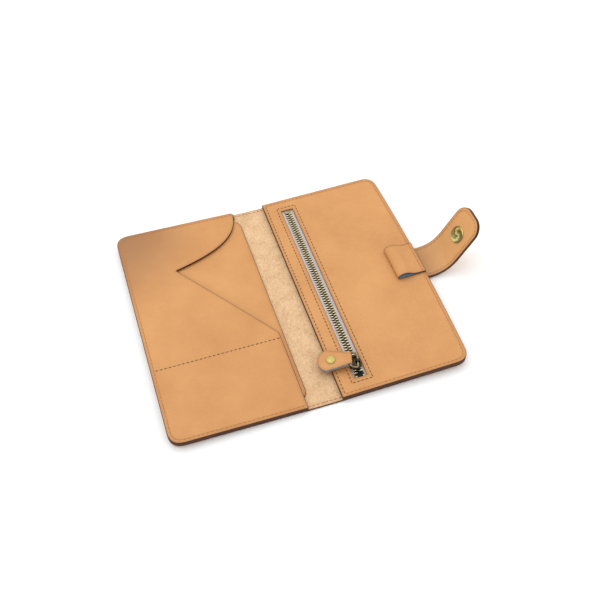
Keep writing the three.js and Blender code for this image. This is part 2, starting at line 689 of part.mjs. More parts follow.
// The stitches run up one edge of the strap, round its end and back.
function threadStrapTip() {
  const inner = SEAM_INSET + THREAD_WIDTH;
  const outline = tipStations(STRAP_BEND + STRAP_THREAD_GAP, SEAM_INSET);
  const full = strapLayer(outline, THREAD_HIGH, THREAD_LOW, acrossStrap(SEAM_INSET));
  const inside = tipStations(STRAP_BEND - 1, inner);
  return cut(full, strapLayer(inside, THREAD_HIGH + 0.3, THREAD_LOW - 0.3, acrossStrap(inner)));
}

function strap() {
  const group = new THREE.Group();
  const tipLining = strapLayer(tipStations(TIP_LINING_START), 0, INNER_LOW);
  const tipOuter = strapLayer(tipStations(TIP_OUTER_START), OUTER_HIGH, OUTER_LOW);
  group.add(
    named('strap_root_lining', strapAnchor(-LAYER_GAP - STRAP_LAYER, -LAYER_GAP), TAN),
    named('strap_root_outer', strapAnchor(OUTER_LOW - LAYER_GAP, OUTER_HIGH - LAYER_GAP), TAN),
    named('strap_base_lining', strapLayer(baseStations(BASE_LINING_START), 0, INNER_LOW), TAN),
    named('strap_base_outer', strapLayer(baseStations(BASE_OUTER_START), OUTER_HIGH, OUTER_LOW), TAN),
    named('strap_tip_lining', cut(tipLining, snapHole()), TAN),
    named('strap_tip_outer', cut(tipOuter, snapHole()), TAN),
    named('thread_strap_base_near', threadStrapBase(-1), THREAD),
    named('thread_strap_base_far', threadStrapBase(1), THREAD),
    named('thread_strap_tip', threadStrapTip(), THREAD),
    named('snap_socket', snapSocket(), BRIGHT_BRASS),
    named('snap_cap', snapCap(), BRIGHT_BRASS),
  );
  return group;
}

// ---- Right half assembly ---------------------------------------------------------------------------------

function rightHalf() {
  const half = tiltedHalf(1, TILT_RIGHT);
  const stopY = 2.2 - WINDOW_HALF_LENGTH;
  half.flat.add(
    named('cover_right', coverRight(), TAN),
    named('zip_pocket_lining', zipPocketLining(), BLUE_CLOTH),
    named('zip_pocket_gusset', zipPocketGusset(), EDGE),
    named('zip_tape_left', zipTape(-1), TAPE_CLOTH),
    named('zip_tape_right', zipTape(1), TAPE_CLOTH),
    named('zip_teeth_left', zipTeeth(-1), TOOTH_BRASS),
    named('zip_teeth_right', zipTeeth(1), TOOTH_BRASS),
    named('zip_near_stop_left', zipStop(ZIP_X - 2.4, ZIP_X - 0.4, stopY - 2.2), TOOTH_BRASS),
    named('zip_near_stop_right', zipStop(ZIP_X + 0.4, ZIP_X + 2.4, stopY - 2.2), TOOTH_BRASS),
    named('zip_far_stop', zipStop(ZIP_X - 2.4, ZIP_X + 2.4, -stopY + 0.2), TOOTH_BRASS),
    named('zip_panel', zipPanel(), TAN),
    named('thread_right_edge', threadRightEdge(), THREAD),
    named('thread_zip_window', threadZipWindow(), THREAD),
    named('pen_loop', penLoop(), TAN),
    named('thread_pen_loop', threadPenLoop(), THREAD),
    named('slider_body', sliderBody(), DARK_BRASS),
    puller(),
    strap(),
  );
  return half.fold;
}

const wallet = new THREE.Group();
wallet.add(leftHalf(), spine(), rightHalf());

export default wallet;
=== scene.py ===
"""Looks of a long leather wallet lying open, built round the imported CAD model."""
import random
from math import acos, atan2, comb, copysign, cos, hypot, pi, radians, sin

import bmesh
import bpy
import numpy as np
from mathutils import Matrix, Vector


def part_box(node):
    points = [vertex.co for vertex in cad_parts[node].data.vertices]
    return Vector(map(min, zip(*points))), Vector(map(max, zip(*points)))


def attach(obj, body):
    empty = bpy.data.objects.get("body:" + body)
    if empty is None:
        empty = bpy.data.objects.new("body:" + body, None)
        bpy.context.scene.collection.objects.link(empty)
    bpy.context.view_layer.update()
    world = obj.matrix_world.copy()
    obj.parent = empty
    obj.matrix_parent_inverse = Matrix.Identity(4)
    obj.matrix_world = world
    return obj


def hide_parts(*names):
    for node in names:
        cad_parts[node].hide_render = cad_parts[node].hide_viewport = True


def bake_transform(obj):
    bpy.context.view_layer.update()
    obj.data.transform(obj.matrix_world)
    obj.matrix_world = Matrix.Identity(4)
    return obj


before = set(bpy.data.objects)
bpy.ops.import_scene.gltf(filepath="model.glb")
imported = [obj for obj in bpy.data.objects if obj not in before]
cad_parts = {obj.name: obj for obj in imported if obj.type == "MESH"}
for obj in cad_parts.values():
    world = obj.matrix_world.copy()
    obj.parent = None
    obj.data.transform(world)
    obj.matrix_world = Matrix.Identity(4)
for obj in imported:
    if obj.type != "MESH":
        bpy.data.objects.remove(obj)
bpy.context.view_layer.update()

MM = 0.001

# ---- Driving dimensions in millimetres, as in the CAD model

half_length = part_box("cover_spine")[1].y / MM
HALF_WIDTH = 113.0
FORE_EDGE_BOW = 1.9
CORNER_RADIUS = 11.0
FOLD_X = 8.5
FOLD_SOFT = 2.5
TILT_LEFT = radians(1.304)
TILT_RIGHT = radians(1.804)
LEATHER = 1.5
CREASE = 1.2
CREASE_REACH = 0.4
CREASE_DEPTH = 0.16
FAR_FROM_EDGE = 20.0
GUSSET_WIDTH = 6.5
SEAM_INSET = 2.5
STITCH_PITCH = 3.3
LEFT_PANEL_X = 13.1
UNDER_PANEL_X = 10.0
UNDER_PANEL_HALF = 91.5
NOTCH = (73.2, 51.2)
DIAGONAL_END_Y = -30.5
DIVIDER_Y = -36.5
ZIP_PANEL_X = 13.0
ZIP_X = 31.4
WINDOW = (4.9, 87.6)
WINDOW_SEAM = (8.0, 91.0)
TOOTH_PITCH = 2.43
SLIDER_Y = -75.0
PULL_YAW = radians(16)
LINK_OFFSET = 2.2
LINK_PIVOT = 1.4
LINK_LEAN = radians(28)
LINK_WIDTH = 12.4
LINK_HEIGHT = 7.1
LINK_WIRE = 0.65
TAB_DROOP = radians(8)
TAB_LENGTH = 23.7
TAB_RADIUS = 9.3
TAB_NECK = 9.6
TAB_LAYER = 1.3
TAB_EYE_LAYER = 0.9
RIVET_X = TAB_RADIUS - TAB_LENGTH + 0.9
LOOP_CENTRE_Y = 1.5
LOOP_LENGTH = 31.0
LOOP_LEATHER = 0.65
LOOP_GAP = 0.25
STRAP_HALF_WIDTH = 15.4
STRAP_LENGTH = 62.0
STRAP_LAYER = 1.2
STRAP_LAYER_GAP = 0.08
STRAP_SEAM_START = 1.5
STRAP_END_RADIUS = 11.0
STRAP_START_X = 116.2
STRAP_ROOT = -17.2
STRAP_BEND = 22.0
STRAP_BEND_REACH = 8.0
STRAP_ROOT_REACH = 2.6
STRAP_SPLIT = 11.0
STRAP_CURL = radians(59.5)
STRAP_CURL_LENGTH = 31.0
SNAP_AT = 40.5
SNAP_RADIUS = 6.75
STUD_X = 102.6
SWIRL_TWIST = 0.85
SWIRL_RADIUS = 4.0
SWIRL_HEIGHT = 0.24

# Heights above each half's outer face
UNDER_SPINE_SEAM_Z = 0.46
UNDER_SEAM_Z = 0.15
UNDER_PANEL_Z = (1.65, 2.85)
LEFT_GUSSET_Z = (1.55, 2.95)
FRONT_PANEL_Z = (3.0, 4.5)
LINING_Z = (1.6, 1.9)
RIGHT_GUSSET_Z = (1.95, 3.35)
TAPE_Z = (2.9, 3.3)
ZIP_PANEL_Z = (3.4, 4.9)
SLIDER_LOWER_Z = (2.02, 2.45)
SLIDER_UPPER_Z = (4.65, 5.8)
TOOTH_Z = 3.4
CORD_Z = 3.2
STOP_MIDDLE_Z = 3.5
LOOP_BASE = ZIP_PANEL_Z[1] + 0.05

# ---- Places: each turns flat millimetres into the frame's metres


def by(matrix):
    """A place made by one matrix."""
    turn = np.array(matrix.to_3x3())
    shift = np.array(matrix.translation)
    return lambda points: points @ turn.T + shift


def half_matrix(side, angle):
    fold = Matrix.Translation((side * FOLD_X, 0, LEATHER))
    return Matrix.Scale(MM, 4) @ fold @ Matrix.Rotation(-side * angle, 4, "Y") @ fold.inverted()


left_matrix = half_matrix(-1, TILT_LEFT)
right_matrix = half_matrix(1, TILT_RIGHT)
on_left = by(left_matrix)
on_right = by(right_matrix)
swivel_matrix = (right_matrix @ Matrix.Translation((ZIP_X, SLIDER_Y, SLIDER_UPPER_Z[1]))
                 @ Matrix.Rotation(-PULL_YAW, 4, "Z"))
link_matrix = (swivel_matrix @ Matrix.Translation((LINK_OFFSET, 0, LINK_PIVOT))
               @ Matrix.Rotation(LINK_LEAN - pi / 2, 4, "Y"))
tab_matrix = (link_matrix @ Matrix.Translation((0, 0, LINK_HEIGHT))
              @ Matrix.Rotation(pi / 2 - LINK_LEAN - TAB_DROOP, 4, "Y"))


def smoothstep(value, start, end):
    t = np.clip((np.asarray(value, float) - start) / (end - start), 0, 1)
    return t * t * (3 - 2 * t)


def on_hide(points):
    """The cover is one hide: each half tilts about its fold, and the spine stays flat."""
    flat = points * MM
    result = flat.copy()
    for side, angle in ((-1, TILT_LEFT), (1, TILT_RIGHT)):
        outward = side * points[:, 0]
        turn = -side * angle * smoothstep(outward, FOLD_X - FOLD_SOFT, FOLD_X + FOLD_SOFT)
        x = flat[:, 0] - side * FOLD_X * MM
        z = flat[:, 2] - LEATHER * MM
        mine = outward > 0
        result[mine, 0] = (side * FOLD_X * MM + x * np.cos(turn) + z * np.sin(turn))[mine]
        result[mine, 2] = (LEATHER * MM - x * np.sin(turn) + z * np.cos(turn))[mine]
    return result


def travelled_along(line):
    step = np.diff(line, axis=0)
    return np.concatenate([[0], np.cumsum(np.hypot(step[:, 0], step[:, 1]))])


def along(path):
    """Bends a flat strip along a path in X and Z. X runs along it, and Z stands on its left."""
    path = np.array(path, float)
    step = np.diff(path, axis=0)
    travelled = travelled_along(path)
    heading = np.unwrap(np.arctan2(step[:, 1], step[:, 0]))
    middle = (travelled[1:] + travelled[:-1]) / 2

    def bend(points):
        s = points[:, 0]
        angle = np.interp(s, middle, heading)
        inside = np.clip(s, 0, travelled[-1])
        over = s - inside
        run, rise = np.cos(angle), np.sin(angle)
        x = np.interp(inside, travelled, path[:, 0]) + over * run - rise * points[:, 2]
        z = np.interp(inside, travelled, path[:, 1]) + over * rise + run * points[:, 2]
        return np.column_stack([x, points[:, 1], z])

    bend.length = travelled[-1]
    return bend


def then(first, second):
    return lambda points: second(first(points))


# ---- Curves


def bezier(points, count):
    """Points on a curve with three or four control points, without the first one."""
    control = np.array(points, float)
    degree = len(control) - 1
    t = np.linspace(0, 1, count + 1)[1:, None]
    terms = [comb(degree, k) * (1 - t) ** (degree - k) * t**k * control[k]
             for k in range(degree + 1)]
    return [tuple(p) for p in sum(terms)]


def curve(points, count, *control):
    """Carries a line of points on from its last one."""
    points += bezier([points[-1], *control], count)


def circle(count):
    return [2 * pi * n / count for n in range(count)]


def arc(centre, radius, start, end, count):
    turns = np.linspace(start, end, count + 1)
    return [(centre[0] + radius * cos(t), centre[1] + radius * sin(t)) for t in turns]


def half_outline(side, inner_x, inset=0.0):
    """A half's outline, counter-clockwise: square beside the spine, round corners at the fore-edge."""
    end = half_length - inset
    outer = HALF_WIDTH - inset
    radius = CORNER_RADIUS - inset
    bow = FORE_EDGE_BOW if side > 0 else 0
    points = [(inner_x, -end), (outer - radius, -end)]
    curve(points, 10, (outer, -end), (outer, radius - end))
    curve(points, 30, (outer + 2 * bow, 0), (outer, end - radius))
    curve(points, 10, (outer, end), (outer - radius, end))
    points += [(inner_x, end)]
    return points if side > 0 else [(-x, y) for x, y in reversed(points)]


def rectangle(x_low, x_high, y_low, y_high):
    return [(x_low, y_low), (x_high, y_low), (x_high, y_high), (x_low, y_high)]


def sides_of(outline):
    return list(zip(outline, outline[1:] + outline[:1]))


def offset(outline, distance):
    """An outline moved to its left, which is inward on a counter-clockwise one."""
    p = np.array(outline, float)
    ahead = np.roll(p, -1, axis=0) - p
    ahead /= np.linalg.norm(ahead, axis=1)[:, None]
    normal = np.column_stack([-ahead[:, 1], ahead[:, 0]])
    before = np.roll(normal, 1, axis=0)
    corner = (normal + before) / (1 + np.sum(normal * before, axis=1))[:, None]
    reach = np.linalg.norm(corner, axis=1)[:, None]
    corner *= np.minimum(1, 1.6 / reach)
    return p + distance * corner


# ---- Mesh helpers


def build(name, bm, looks, place, edge=None, sharp=40):
    """Moves a flat mesh to its place, keeps its flat shape for the textures, and makes the object."""
    bmesh.ops.recalc_face_normals(bm, faces=bm.faces[:])
    for line in bm.edges:
        line.smooth = line.calc_face_angle(0) < radians(sharp)
    for face in bm.faces:
        face.smooth = True
    mesh = bpy.data.meshes.new(name)
    bm.to_mesh(mesh)
    bm.free()
    flat = np.zeros(len(mesh.vertices) * 3)
    mesh.vertices.foreach_get("co", flat)
    flat = flat.reshape(-1, 3)
    rest = mesh.attributes.new("rest", "FLOAT_VECTOR", "POINT")
    rest.data.foreach_set("vector", flat.astype(np.float32).ravel())
    from_edge = mesh.attributes.new("edge", "FLOAT", "POINT")
    distance = np.full(len(flat), FAR_FROM_EDGE) if edge is None else edge(flat)
    from_edge.data.foreach_set("value", distance.astype(np.float32))
    mesh.vertices.foreach_set("co", place(flat).astype(np.float32).ravel())
    for look in looks:
        mesh.materials.append(look)
    mesh.update()
    piece = bpy.data.objects.new(name, mesh)
    bpy.context.scene.collection.objects.link(piece)
    return piece


def distance_to(loops):
    """How far each point is from the nearest of some closed outlines, seen from above."""
    starts = np.concatenate([np.array(loop, float) for loop in loops])
    ends = np.concatenate([np.roll(np.array(loop, float), -1, axis=0) for loop in loops])
    step = ends - starts
    square = np.sum(step * step, axis=1)

    def measure(points):
        nearest = np.full(len(points), FAR_FROM_EDGE)
        for start, line, size in zip(starts, step, square):
            t = np.clip(((points[:, :2] - start) @ line) / size, 0, 1)
            gap = points[:, :2] - start - t[:, None] * line
            nearest = np.minimum(nearest, np.hypot(gap[:, 0], gap[:, 1]))
        return nearest

    return measure


def slices(low, high, spacing):
    count = max(1, round((high - low) / spacing))
    return [low + (high - low) * n / count for n in range(1, count)]


def cut_mesh(bm, axis, value, keep=0):
    """Cuts a mesh at X or Y = value. keep -1 or 1 leaves only the lower or higher part, closed."""
    normal = [int(n == axis) for n in range(3)]
    point = [value * n for n in normal]
    everything = bm.verts[:] + bm.edges[:] + bm.faces[:]
    made = bmesh.ops.bisect_plane(
        bm, geom=everything, dist=1e-5, plane_co=point, plane_no=normal,
        clear_inner=keep > 0, clear_outer=keep < 0)
    if keep:
        rim = [e for e in made["geom_cut"] if isinstance(e, bmesh.types.BMEdge)]
        caps = bmesh.ops.triangle_fill(bm, edges=rim, use_beauty=True)["geom"]
        for face in caps:
            if isinstance(face, bmesh.types.BMFace):
                face.material_index = 1


def plate_mesh(outline, low, high, holes=(), crease=0.0, rounding=0.3, grid=5.0, bends=(),
               hole_look=1):
    """A flat piece with rounded edges and, a little inside them, a pressed crease line."""
    bm = bmesh.new()
    loops = [outline, *(list(reversed(h)) for h in holes)]
    turns = [radians(a) for a in (0, 30, 60, 90)]
    bottom = [(rounding * (1 - sin(t)), low + rounding * (1 - cos(t))) for t in turns]
    top = [(inset, low + high - z) for inset, z in reversed(bottom)]
    rings = [(*p, 1) for p in bottom + top]
    if crease:
        rings += [(crease - CREASE_REACH, high, 0), (crease, high - CREASE_DEPTH, 0),
                  (crease + CREASE_REACH, high, 0)]
    made = []
    for loop in loops:
        rows = []
        for inset, z, _ in rings:
            rows.append([bm.verts.new((x, y, z)) for x, y in offset(loop, inset)])
        for k in range(len(rows) - 1):
            for i in range(len(loop)):
                j = (i + 1) % len(loop)
                face = bm.faces.new((rows[k][i], rows[k][j], rows[k + 1][j], rows[k + 1][i]))
                face.material_index = rings[k + 1][2]
                if face.material_index == 1 and made:
                    face.material_index = hole_look
        made.append(rows)
    for row, look, up in ((-1, 0, 1), (0, 2, -1)):
        if holes:
            rims = [bm.edges.get((rows[row][i - 1], rows[row][i]))
                    for rows in made for i in range(len(rows[row]))]
            filled = bmesh.ops.triangle_fill(bm, edges=rims, use_beauty=True, normal=(0, 0, up))
            faces = [f for f in filled["geom"] if isinstance(f, bmesh.types.BMFace)]
        else:
            faces = [bm.faces.new(made[0][row][::up])]
        for face in faces:
            face.material_index = look
    for axis in (0, 1):
        along_axis = [p[axis] for p in outline]
        for value in slices(min(along_axis), max(along_axis), grid):
            cut_mesh(bm, axis, value)
    for start, end, spacing in bends:
        for value in [start, *slices(start, end, spacing), end]:
            cut_mesh(bm, 0, value)
    return bm


def plate(name, outline, low, high, looks, place, holes=(), **shape):
    """looks are those of the top, the cut edge and the underside, or one for all."""
    looks = looks if isinstance(looks, tuple) else (looks,) * 3
    bm = plate_mesh(outline, low, high, holes, **shape)
    return build(name, bm, looks, place, edge=distance_to([outline, *holes]))


def turned(name, profile, look, place, sides=64, ripple=None):
    """A piece turned on the Z axis. Its profile of radius and height starts and ends on the axis."""
    bm = bmesh.new()
    rows = []
    for radius, z in profile:
        if radius == 0:
            rows.append([bm.verts.new((0, 0, z))])
            continue
        rows.append([bm.verts.new((radius * cos(t), radius * sin(t),
                                   z + (ripple(radius, t) if ripple else 0))) for t in circle(sides)])
    for lower, upper in zip(rows, rows[1:]):
        for n in range(sides):
            m = (n + 1) % sides
            ring = [lower[n % len(lower)], lower[m % len(lower)],
                    upper[m % len(upper)], upper[n % len(upper)]]
            bm.faces.new(list(dict.fromkeys(ring)))
    return build(name, bm, [look], place, sharp=50)


def wire(name, path, radius, look, place, sides=14, closed=True):
    """A round wire along a path of points in three dimensions."""
    bm = bmesh.new()
    path = [Vector(p) for p in path]
    count = len(path)
    rings = []
    side = Vector((1, 0, 0))
    for n in range(count):
        before = path[n - 1] if closed or n else path[0]
        after = path[(n + 1) % count] if closed or n < count - 1 else path[n]
        ahead = (after - before).normalized()
        side = (side - side.dot(ahead) * ahead).normalized()
        up = ahead.cross(side)
        rings.append([bm.verts.new(path[n] + radius * (cos(t) * side + sin(t) * up))
                      for t in circle(sides)])
    for n in range(count if closed else count - 1):
        for k in range(sides):
            m = (k + 1) % sides
            following = rings[(n + 1) % count]
            bm.faces.new((rings[n][k], rings[n][m], following[m], following[k]))
    if not closed:
        bm.faces.new(rings[0])
        bm.faces.new(rings[-1])
    return build(name, bm, [look], place)


def rounded_box(size, radius):
    bm = bmesh.new()
    bmesh.ops.create_cube(bm, size=1, matrix=Matrix.Diagonal((*size, 1)))
    bmesh.ops.bevel(bm, geom=bm.edges[:], offset=radius, segments=3, affect="EDGES", profile=0.5)
    points = np.array([v.co for v in bm.verts])
    faces = [[v.index for v in f.verts] for f in bm.faces]
    bm.free()
    return points, faces


def many(name, template, places, looks, place, shape=None, face_looks=None):
    """Copies of one small mesh in one piece. Each place is a function of the template's points."""
    points, faces = template
    bm = bmesh.new()
    for put in places:
        verts = [bm.verts.new(p) for p in put(points)]
        for n, face in enumerate(faces):
            made = bm.faces.new([verts[i] for i in face])
            made.material_index = face_looks[n] if face_looks else 0
    return build(name, bm, looks, then(shape, place) if shape else place)


def block(name, size, radius, centre, look, place, shape=None):
    """One box with rounded edges."""
    return many(name, rounded_box(size, radius), [lambda points: points + np.array(centre)], [look],
                place, shape)


def declare(nodes):
    if nodes:
        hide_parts(*nodes)


def ride(piece, body, slot, *nodes):
    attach(piece, body)
    declare(nodes)


def hinge(piece, first, second, start, end, slot, *nodes):
    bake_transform(piece)
    declare(nodes)


# ---- Materials


class Surface:
    """A procedural material in the flat shape's millimetres, so that no pattern slides in a fold."""

    def __init__(self, name, **uniform):
        self.material = bpy.data.materials.new(name)
        self.material.use_nodes = True
        self.tree = self.material.node_tree
        self.shader = self.tree.nodes["Principled BSDF"]
        for socket, value in uniform.items():
            self.shader.inputs[socket.replace("_", " ")].default_value = value
        self.place = self.add("Attribute", attribute_name="rest").outputs["Vector"]

    def add(self, kind, inputs=None, **settings):
        node = self.tree.nodes.new("ShaderNode" + kind)
        for key, value in settings.items():
            setattr(node, key, value)
        for socket, value in (inputs or {}).items():
            target = node.inputs[socket]
            if isinstance(value, bpy.types.NodeSocket):
                self.tree.links.new(value, target)
            else:
                target.default_value = (*value, 1) if target.type == "RGBA" else value
        return node

    def stretched(self, x, y, z):
        return self.add("VectorMath", {0: self.place, 1: (x, y, z)}, operation="MULTIPLY").outputs[0]

    def noise(self, scale, detail=3.0, place=None, roughness=0.55):
        inputs = {"Vector": place or self.place, "Scale": scale, "Detail": detail,
                  "Roughness": roughness}
        return self.add("TexNoise", inputs).outputs["Fac"]

    def cells(self, scale, feature="F1"):
        node = self.add("TexVoronoi", {"Vector": self.place, "Scale": scale}, feature=feature)
        return node.outputs["Distance"]

    def maths(self, operation, first, second=0.0, third=0.0):
        return self.add("Math", {0: first, 1: second, 2: third}, operation=operation).outputs[0]

    def ramp(self, factor, *stops):
        node = self.add("ValToRGB", {"Fac": factor})
        elements = node.color_ramp.elements
        while len(elements) < len(stops):
            elements.new(0.5)
        for element, (position, colour) in zip(elements, stops):
            element.position = position
            element.color = (*colour, 1) if isinstance(colour, tuple) else (colour, colour, colour, 1)
        return node.outputs["Color"]

    def mix(self, factor, first, second):
        return self.add("Mix", {"Factor": factor, 6: first, 7: second}, data_type="RGBA").outputs[2]

    def tint(self, colour, mask, strength, towards):
        """A colour moved towards another where a mask is 1."""
        return self.mix(self.maths("MULTIPLY", mask, strength), colour, towards)

    def fade(self, value, start, end, first=1.0, last=0.0):
        """Goes smoothly from first to last while a value goes from start to end."""
        inputs = {"Value": value, "From Min": start, "From Max": end, "To Min": first, "To Max": last}
        return self.add("MapRange", inputs, interpolation_type="SMOOTHSTEP").outputs["Result"]

    def part(self, axis):
        return self.add("SeparateXYZ", {0: self.place}).outputs[axis]

    def from_edge(self):
        return self.add("Attribute", attribute_name="edge").outputs["Fac"]

    def edge(self, start, end):
        """1 at a piece's cut edge, 0 further in, between two distances."""
        return self.fade(self.from_edge(), start, end)

    def crease_line(self):
        """1 along the line pressed a little inside a piece's edge, 0 on both sides of it."""
        away = self.maths("ABSOLUTE", self.maths("SUBTRACT", self.from_edge(), CREASE))
        return self.fade(away, 0.0, CREASE_REACH)

    def bump(self, height, depth, under=None, strength=1.0):
        inputs = {"Height": height, "Distance": depth * MM, "Strength": strength}
        if under:
            inputs["Normal"] = under
        return self.add("Bump", inputs).outputs["Normal"]

    def done(self, colour, roughness=None, normal=None):
        for socket, value in (("Base Color", colour), ("Roughness", roughness), ("Normal", normal)):
            if value is not None:
                self.tree.links.new(value, self.shader.inputs[socket])
        return self.material


def grain_leather(name="grain_leather", dark=(0.508, 0.224, 0.068), light=(0.622, 0.305, 0.103),
                  shaded_corner=None, shaded_root=False):
    """Vegetable-tanned leather: cloudy colour, fine pores, faint scuffs, deeper near its edges."""
    s = Surface(name, Specular_IOR_Level=0.4)
    cloud = s.noise(0.022, 4)
    blotch = s.noise(0.11, 5)
    speckle = s.noise(1.1, 4)
    fine = s.maths("MULTIPLY_ADD", blotch, 0.16, s.maths("MULTIPLY", speckle, 0.30))
    tone = s.maths("MULTIPLY_ADD", cloud, 0.54, fine)
    colour = s.ramp(tone, (0.34, dark), (0.66, light))
    pores = s.ramp(s.cells(1.9), (0.05, 0.0), (0.45, 1.0))
    colour = s.mix(s.maths("MULTIPLY_ADD", pores, -0.14, 0.14), colour, (0.36, 0.15, 0.05))
    streaks = s.noise(0.5, 4, s.stretched(0.25, 1.6, 1.0))
    scuffs = s.ramp(streaks, (0.58, 0.0), (0.74, 1.0))
    colour = s.tint(colour, scuffs, 0.16, (0.66, 0.36, 0.15))
    # Painted shade: the leather darkens towards a given corner, as if the light fell off there.
    if shaded_corner:
        away = s.add("VectorMath", {0: s.place, 1: shaded_corner}, operation="DISTANCE").outputs["Value"]
        colour = s.mix(s.fade(away, 8.0, 85.0, 0.8), colour, (0.28, 0.125, 0.045))
    # Painted shade: darker near the strap's root by the cover, fading out towards its tip.
    if shaded_root:
        colour = s.mix(s.fade(s.part("X"), 2.0, 26.0, 0.45), colour, (0.31, 0.14, 0.05))
    colour = s.tint(colour, s.edge(1.0, 4.5), 0.12, (0.46, 0.185, 0.052))
    colour = s.tint(colour, s.crease_line(), 0.28, (0.25, 0.09, 0.028))
    colour = s.tint(colour, s.edge(0.2, 0.75), 0.85, (0.085, 0.03, 0.012))
    grain = s.cells(1.25, "SMOOTH_F1")
    normal = s.bump(grain, 0.05, strength=0.35)
    normal = s.bump(s.noise(3.2, 4), 0.03, normal, 0.5)
    normal = s.bump(s.noise(0.12, 3), 0.25, normal, 0.35)
    rough = s.ramp(s.noise(0.35, 4), (0.35, 0.46), (0.7, 0.58))
    return s.done(colour, rough, normal)


def flesh_leather():
    """The brushed flesh side: pale, mottled, fibrous, with dark flecks."""
    s = Surface("flesh_leather", Specular_IOR_Level=0.15, Roughness=0.95, Sheen_Weight=0.25,
                Sheen_Roughness=0.6)
    fibre = s.noise(0.75, 6, s.stretched(1.0, 0.55, 1.0), 0.7)
    cloud = s.noise(0.09, 4)
    tone = s.maths("MULTIPLY_ADD", fibre, 0.68, s.maths("MULTIPLY", cloud, 0.32))
    colour = s.ramp(tone, (0.33, (0.45, 0.268, 0.130)), (0.5, (0.66, 0.420, 0.228)),
                    (0.68, (0.775, 0.545, 0.322)))
    fleck = s.ramp(s.noise(1.7, 3, None, 0.75), (0.66, 0.0), (0.74, 1.0))
    colour = s.tint(colour, fleck, 0.5, (0.33, 0.19, 0.09))
    colour = s.tint(colour, s.edge(0.3, 1.4), 0.5, (0.36, 0.18, 0.08))
    normal = s.bump(fibre, 0.35, strength=0.7)
    normal = s.bump(s.noise(4.5, 3), 0.12, normal, 0.6)
    return s.done(colour, None, normal)


def edge_leather(name="edge_leather", dark=(0.030, 0.0095, 0.0045), light=(0.125, 0.047, 0.019)):
    """A cut edge, dyed and burnished: dark, with the hide's layers faintly showing."""
    s = Surface(name, Specular_IOR_Level=0.2)
    layers = s.noise(0.6, 5, s.stretched(0.25, 0.25, 6.0), 0.65)
    colour = s.ramp(layers, (0.35, dark), (0.7, light))
    rough = s.ramp(s.noise(0.8, 3), (0.3, 0.38), (0.7, 0.6))
    return s.done(colour, rough, s.bump(layers, 0.15, strength=0.5))


def thread_look(name, dark, light):
    s = Surface(name, Specular_IOR_Level=0.3, Roughness=0.62)
    strands = s.noise(4.5, 4, None, 0.7)
    colour = s.ramp(strands, (0.35, dark), (0.65, light))
    return s.done(colour, None, s.bump(strands, 0.06, strength=0.6))


def woven(name, dark, light, pitch):
    """A plain weave: threads over and under each other."""
    s = Surface(name, Specular_IOR_Level=0.2, Roughness=0.9, Sheen_Weight=0.15)
    over, across = (
        s.add("TexWave", {"Vector": place, "Scale": 1 / pitch / 3.2, "Distortion": 0.4},
              wave_type="BANDS", bands_direction="DIAGONAL").outputs["Fac"]
        for place in (s.place, s.stretched(-1, 1, 1)))
    weave = s.maths("MULTIPLY", over, across)
    tone = s.maths("MULTIPLY_ADD", weave, 0.6, s.maths("MULTIPLY", s.noise(0.7, 4), 0.4))
    return s.done(s.ramp(tone, (0.12, dark), (0.6, light)), None, s.bump(weave, 0.12, strength=0.8))


def brass(name, dark, light, rough, low=None, high=None, swirl=False):
    """Brass, darker in its hollows, where low and high say between which heights it brightens, and with
    swirl, darker in two spiral arms round a turned piece's middle, a painted reflection of turned
    metal."""
    s = Surface(name, Metallic=1.0)
    tarnish = s.noise(0.9, 5, None, 0.6)
    colour = s.ramp(tarnish, (0.3, dark), (0.62, light))
    if low is not None:
        worn = s.fade(s.part("Z"), low, high, 0.0, 1.0)
        colour = s.mix(worn, tuple(0.16 * c for c in light), colour)
    # Painted reflection: two dark spiral arms, as light lies on lathe-turned brass.
    if swirl:
        x, y = s.part("X"), s.part("Y")
        turn = s.maths("ARCTAN2", y, x)
        radius = s.maths("SQRT", s.maths("ADD", s.maths("MULTIPLY", x, x), s.maths("MULTIPLY", y, y)))
        twist = s.maths("MULTIPLY_ADD", radius, SWIRL_TWIST, -SWIRL_TWIST * SWIRL_RADIUS)
        wave = s.maths("SINE", s.maths("MULTIPLY_ADD", turn, 2.0, twist))
        arms = s.ramp(wave, (0.0, 0.75), (0.8, 0.0))
        colour = s.mix(arms, colour, tuple(0.12 * c for c in light))
    shine = s.ramp(s.noise(2.3, 4), (0.3, rough * 0.8), (0.75, min(1.0, rough * 1.5)))
    return s.done(colour, shine, s.bump(s.noise(5.0, 3), 0.02, strength=0.4))


GRAIN = grain_leather()
# The strap's grain is a lighter copy of the leather: painted light, as the strap's face turns away from
# the lamps.
LIT_STRAP_GRAIN = grain_leather("grain_leather_strap_lit", (0.575, 0.275, 0.092), (0.705, 0.375, 0.138),
                            shaded_root=True)
# The front panel's grain, with painted shade towards the far left corner.
SHADED_CORNER_GRAIN = grain_leather("grain_leather_shaded_corner",
                           shaded_corner=(-HALF_WIDTH, half_length, FRONT_PANEL_Z[1]))
RAW_EDGE = edge_leather("raw_edge", (0.20, 0.085, 0.03), (0.42, 0.20, 0.08))
FLESH = flesh_leather()
EDGE = edge_leather()
TAB_EDGE = edge_leather("tab_edge", (0.11, 0.13, 0.135), (0.40, 0.375, 0.31))
THREAD = thread_look("thread", (0.33, 0.14, 0.05), (0.50, 0.23, 0.085))
# Painted shade: the dark blobs at each stitch's ends stand for the shaded awl holes.
AWL_SHADE = thread_look("stitch_awl_shade", (0.16, 0.06, 0.022), (0.26, 0.10, 0.038))
DARK_THREAD = thread_look("thread_dark", (0.055, 0.020, 0.010), (0.17, 0.065, 0.03))
DARK_AWL_SHADE = thread_look("stitch_awl_shade_dark", (0.03, 0.011, 0.005), (0.08, 0.03, 0.012))
TAPE_CLOTH = woven("zip_tape", (0.40, 0.36, 0.34), (0.72, 0.66, 0.63), 0.55)
